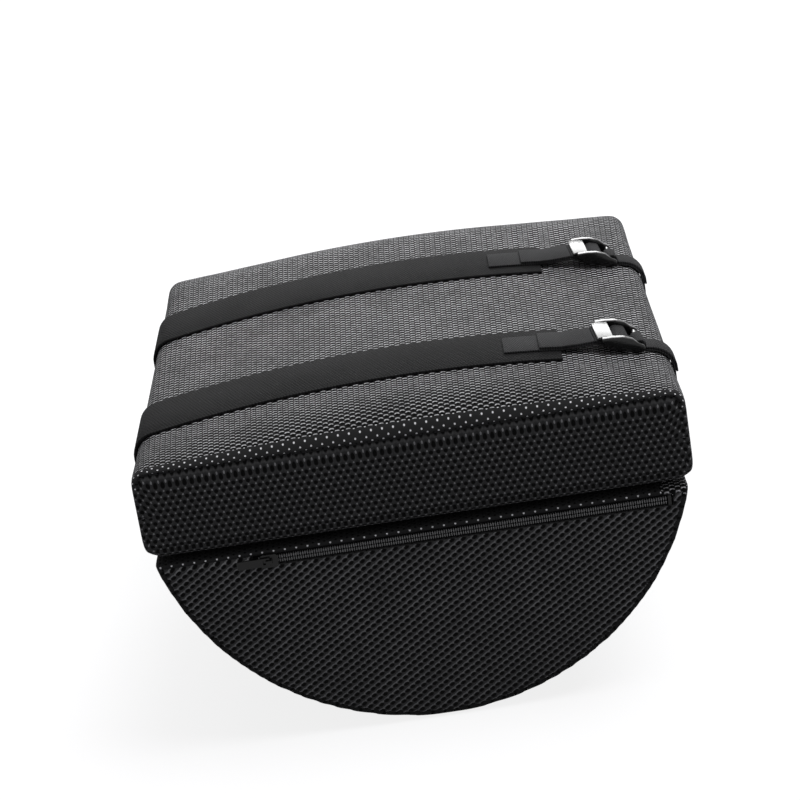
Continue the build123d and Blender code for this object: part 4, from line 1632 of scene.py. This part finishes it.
@dataclass
class Studio:
    """Pale floor, soft light from above, and the camera of the picture."""

    azimuth: float = 0.0364
    elevation: float = 0.3571
    roll: float = -0.1637
    distance: float = 1.57126
    target: Point3 = (-0.00607, 0.0, 0.13018)
    lens: float = 115.5
    sensor: float = 36.0
    clip_start: float = 0.05
    floor_size: float = 12.0
    floor_z: float = -0.0005
    floor_rough: float = 0.9
    floor_lit: float = 0.25
    floor_seen: float = 0.22
    floor_glow: float = 0.84
    sky: float = 0.2
    key_from: Point3 = (0.4, 0.02, 1.0)
    key_strength: float = 2.1
    key_angle: float = math.radians(40.0)
    back_from: Point3 = (0.1, 1.9, 1.05)
    back_aim: Point3 = (0.0, 0.0, 0.12)
    back_size: float = 1.2
    back_power: float = 31.0

    def camera(self) -> None:
        """Sets the camera at the picture's viewing angle."""
        level = math.cos(self.elevation)
        back = Vector(
            (
                math.sin(self.azimuth) * level,
                -math.cos(self.azimuth) * level,
                math.sin(self.elevation),
            )
        )
        right = Vector((0, 0, 1)).cross(back).normalized()
        up = back.cross(right)
        rolled_right = right * math.cos(self.roll) + up * math.sin(self.roll)
        rolled_up = up * math.cos(self.roll) - right * math.sin(self.roll)
        data = bpy.data.cameras.new("Camera")
        data.lens = self.lens
        data.sensor_width = self.sensor
        data.sensor_fit = "HORIZONTAL"
        data.clip_start = self.clip_start
        camera = bpy.data.objects.new("Camera", data)
        bpy.context.scene.collection.objects.link(camera)
        matrix = camera.matrix_world.copy()
        for column, axis in enumerate((rolled_right, rolled_up, back)):
            for row in range(3):
                matrix[row][column] = axis[row]
        matrix.translation = Vector(self.target) + back * self.distance
        camera.matrix_world = matrix
        bpy.context.scene.camera = camera

    @staticmethod
    def hang(data: bpy.types.Light, place: Point3, aim: Point3) -> None:
        """Puts a light in the scene, turned towards a point."""
        lamp = bpy.data.objects.new(data.name, data)
        bpy.context.scene.collection.objects.link(lamp)
        lamp.location = place
        lamp.rotation_euler = (Vector(aim) - Vector(place)).to_track_quat("-Z", "Y").to_euler()

    def lights(self) -> None:
        """Adds an even soft light from above and a square soft lamp from behind."""
        key = bpy.data.lights.new("Key", "SUN")
        key.energy = self.key_strength
        key.angle = self.key_angle
        self.hang(key, self.key_from, (0.0, 0.0, 0.0))
        back = bpy.data.lights.new("Back", "AREA")
        back.shape = "SQUARE"
        back.size = self.back_size
        back.energy = self.back_power
        self.hang(back, self.back_from, self.back_aim)

    @staticmethod
    def seen(nodes: Nodes) -> bpy.types.NodeSocket:
        """One for rays that show the background, nought for rays that light the object."""
        path = nodes.add("ShaderNodeLightPath")
        glossy, through = path.outputs["Is Glossy Ray"], path.outputs["Is Transmission Ray"]
        mirrored = nodes.math("MAXIMUM", glossy, through)
        return nodes.math("MAXIMUM", path.outputs["Is Camera Ray"], mirrored)

    def floor(self) -> None:
        """Adds the pale floor, which keeps the object's shadow."""
        Bench.clear()
        bpy.ops.mesh.primitive_plane_add(size=self.floor_size, location=(0.0, 0.0, self.floor_z))
        floor = bpy.context.object
        floor.name = "Floor"
        nodes, shader, material = surface("Pale floor")
        seen = self.seen(nodes)
        shader.inputs["Roughness"].default_value = self.floor_rough
        shader.inputs["Specular IOR Level"].default_value = 0.0
        colour = nodes.blend(seen, grey(self.floor_lit), grey(self.floor_seen))
        nodes.feed(colour, shader.inputs["Base Color"])
        shader.inputs["Emission Color"].default_value = WHITE
        glow = nodes.math("MULTIPLY", seen, self.floor_glow)
        nodes.feed(glow, shader.inputs["Emission Strength"])
        floor.data.materials.append(material)

    def world(self) -> None:
        """White behind the object, and a weak even light on it."""
        world = bpy.data.worlds.new("Studio")
        world.use_nodes = True
        bpy.context.scene.world = world
        nodes = Nodes(world.node_tree)
        background = next(node for node in world.node_tree.nodes if node.type == "BACKGROUND")
        strength = nodes.ramp(self.seen(nodes), 0.0, 1.0, self.sky, 1.0)
        nodes.feed(strength, background.inputs["Strength"])
        background.inputs["Color"].default_value = WHITE

    def build(self) -> None:
        """Sets up the whole studio."""
        bpy.context.scene.view_settings.view_transform = "Standard"
        self.camera()
        self.floor()
        self.world()
        self.lights()


def main() -> None:
    """Builds the studio and every part of the footrest, in order."""
    logging.basicConfig(level=logging.INFO, format="%(name)s: %(message)s")
    Studio().build()
    palette = Palette()
    stuffing = Stuffing()
    pad = Pad()
    base = Base()
    for cover in (base, pad):
        piece = cover.build(stuffing, palette)
        log.info("%s: %d faces", piece.name, len(piece.data.polygons))
    for side, middle_y in (("near", -0.100), ("far", 0.060)):
        Strap(side, middle_y, pad, base).build(palette)
        log.info("%s strap", side)
    for zipper in (
        Zip("base", face_y=-0.169, out=-1, chain_z=0.1111, seam=1),
        Zip("pad", face_y=0.170, out=1, chain_z=0.1312, seam=-1),
    ):
        zipper.build(palette)
        log.info("%s zip", zipper.owner)


if __name__ == "__main__":
    main()
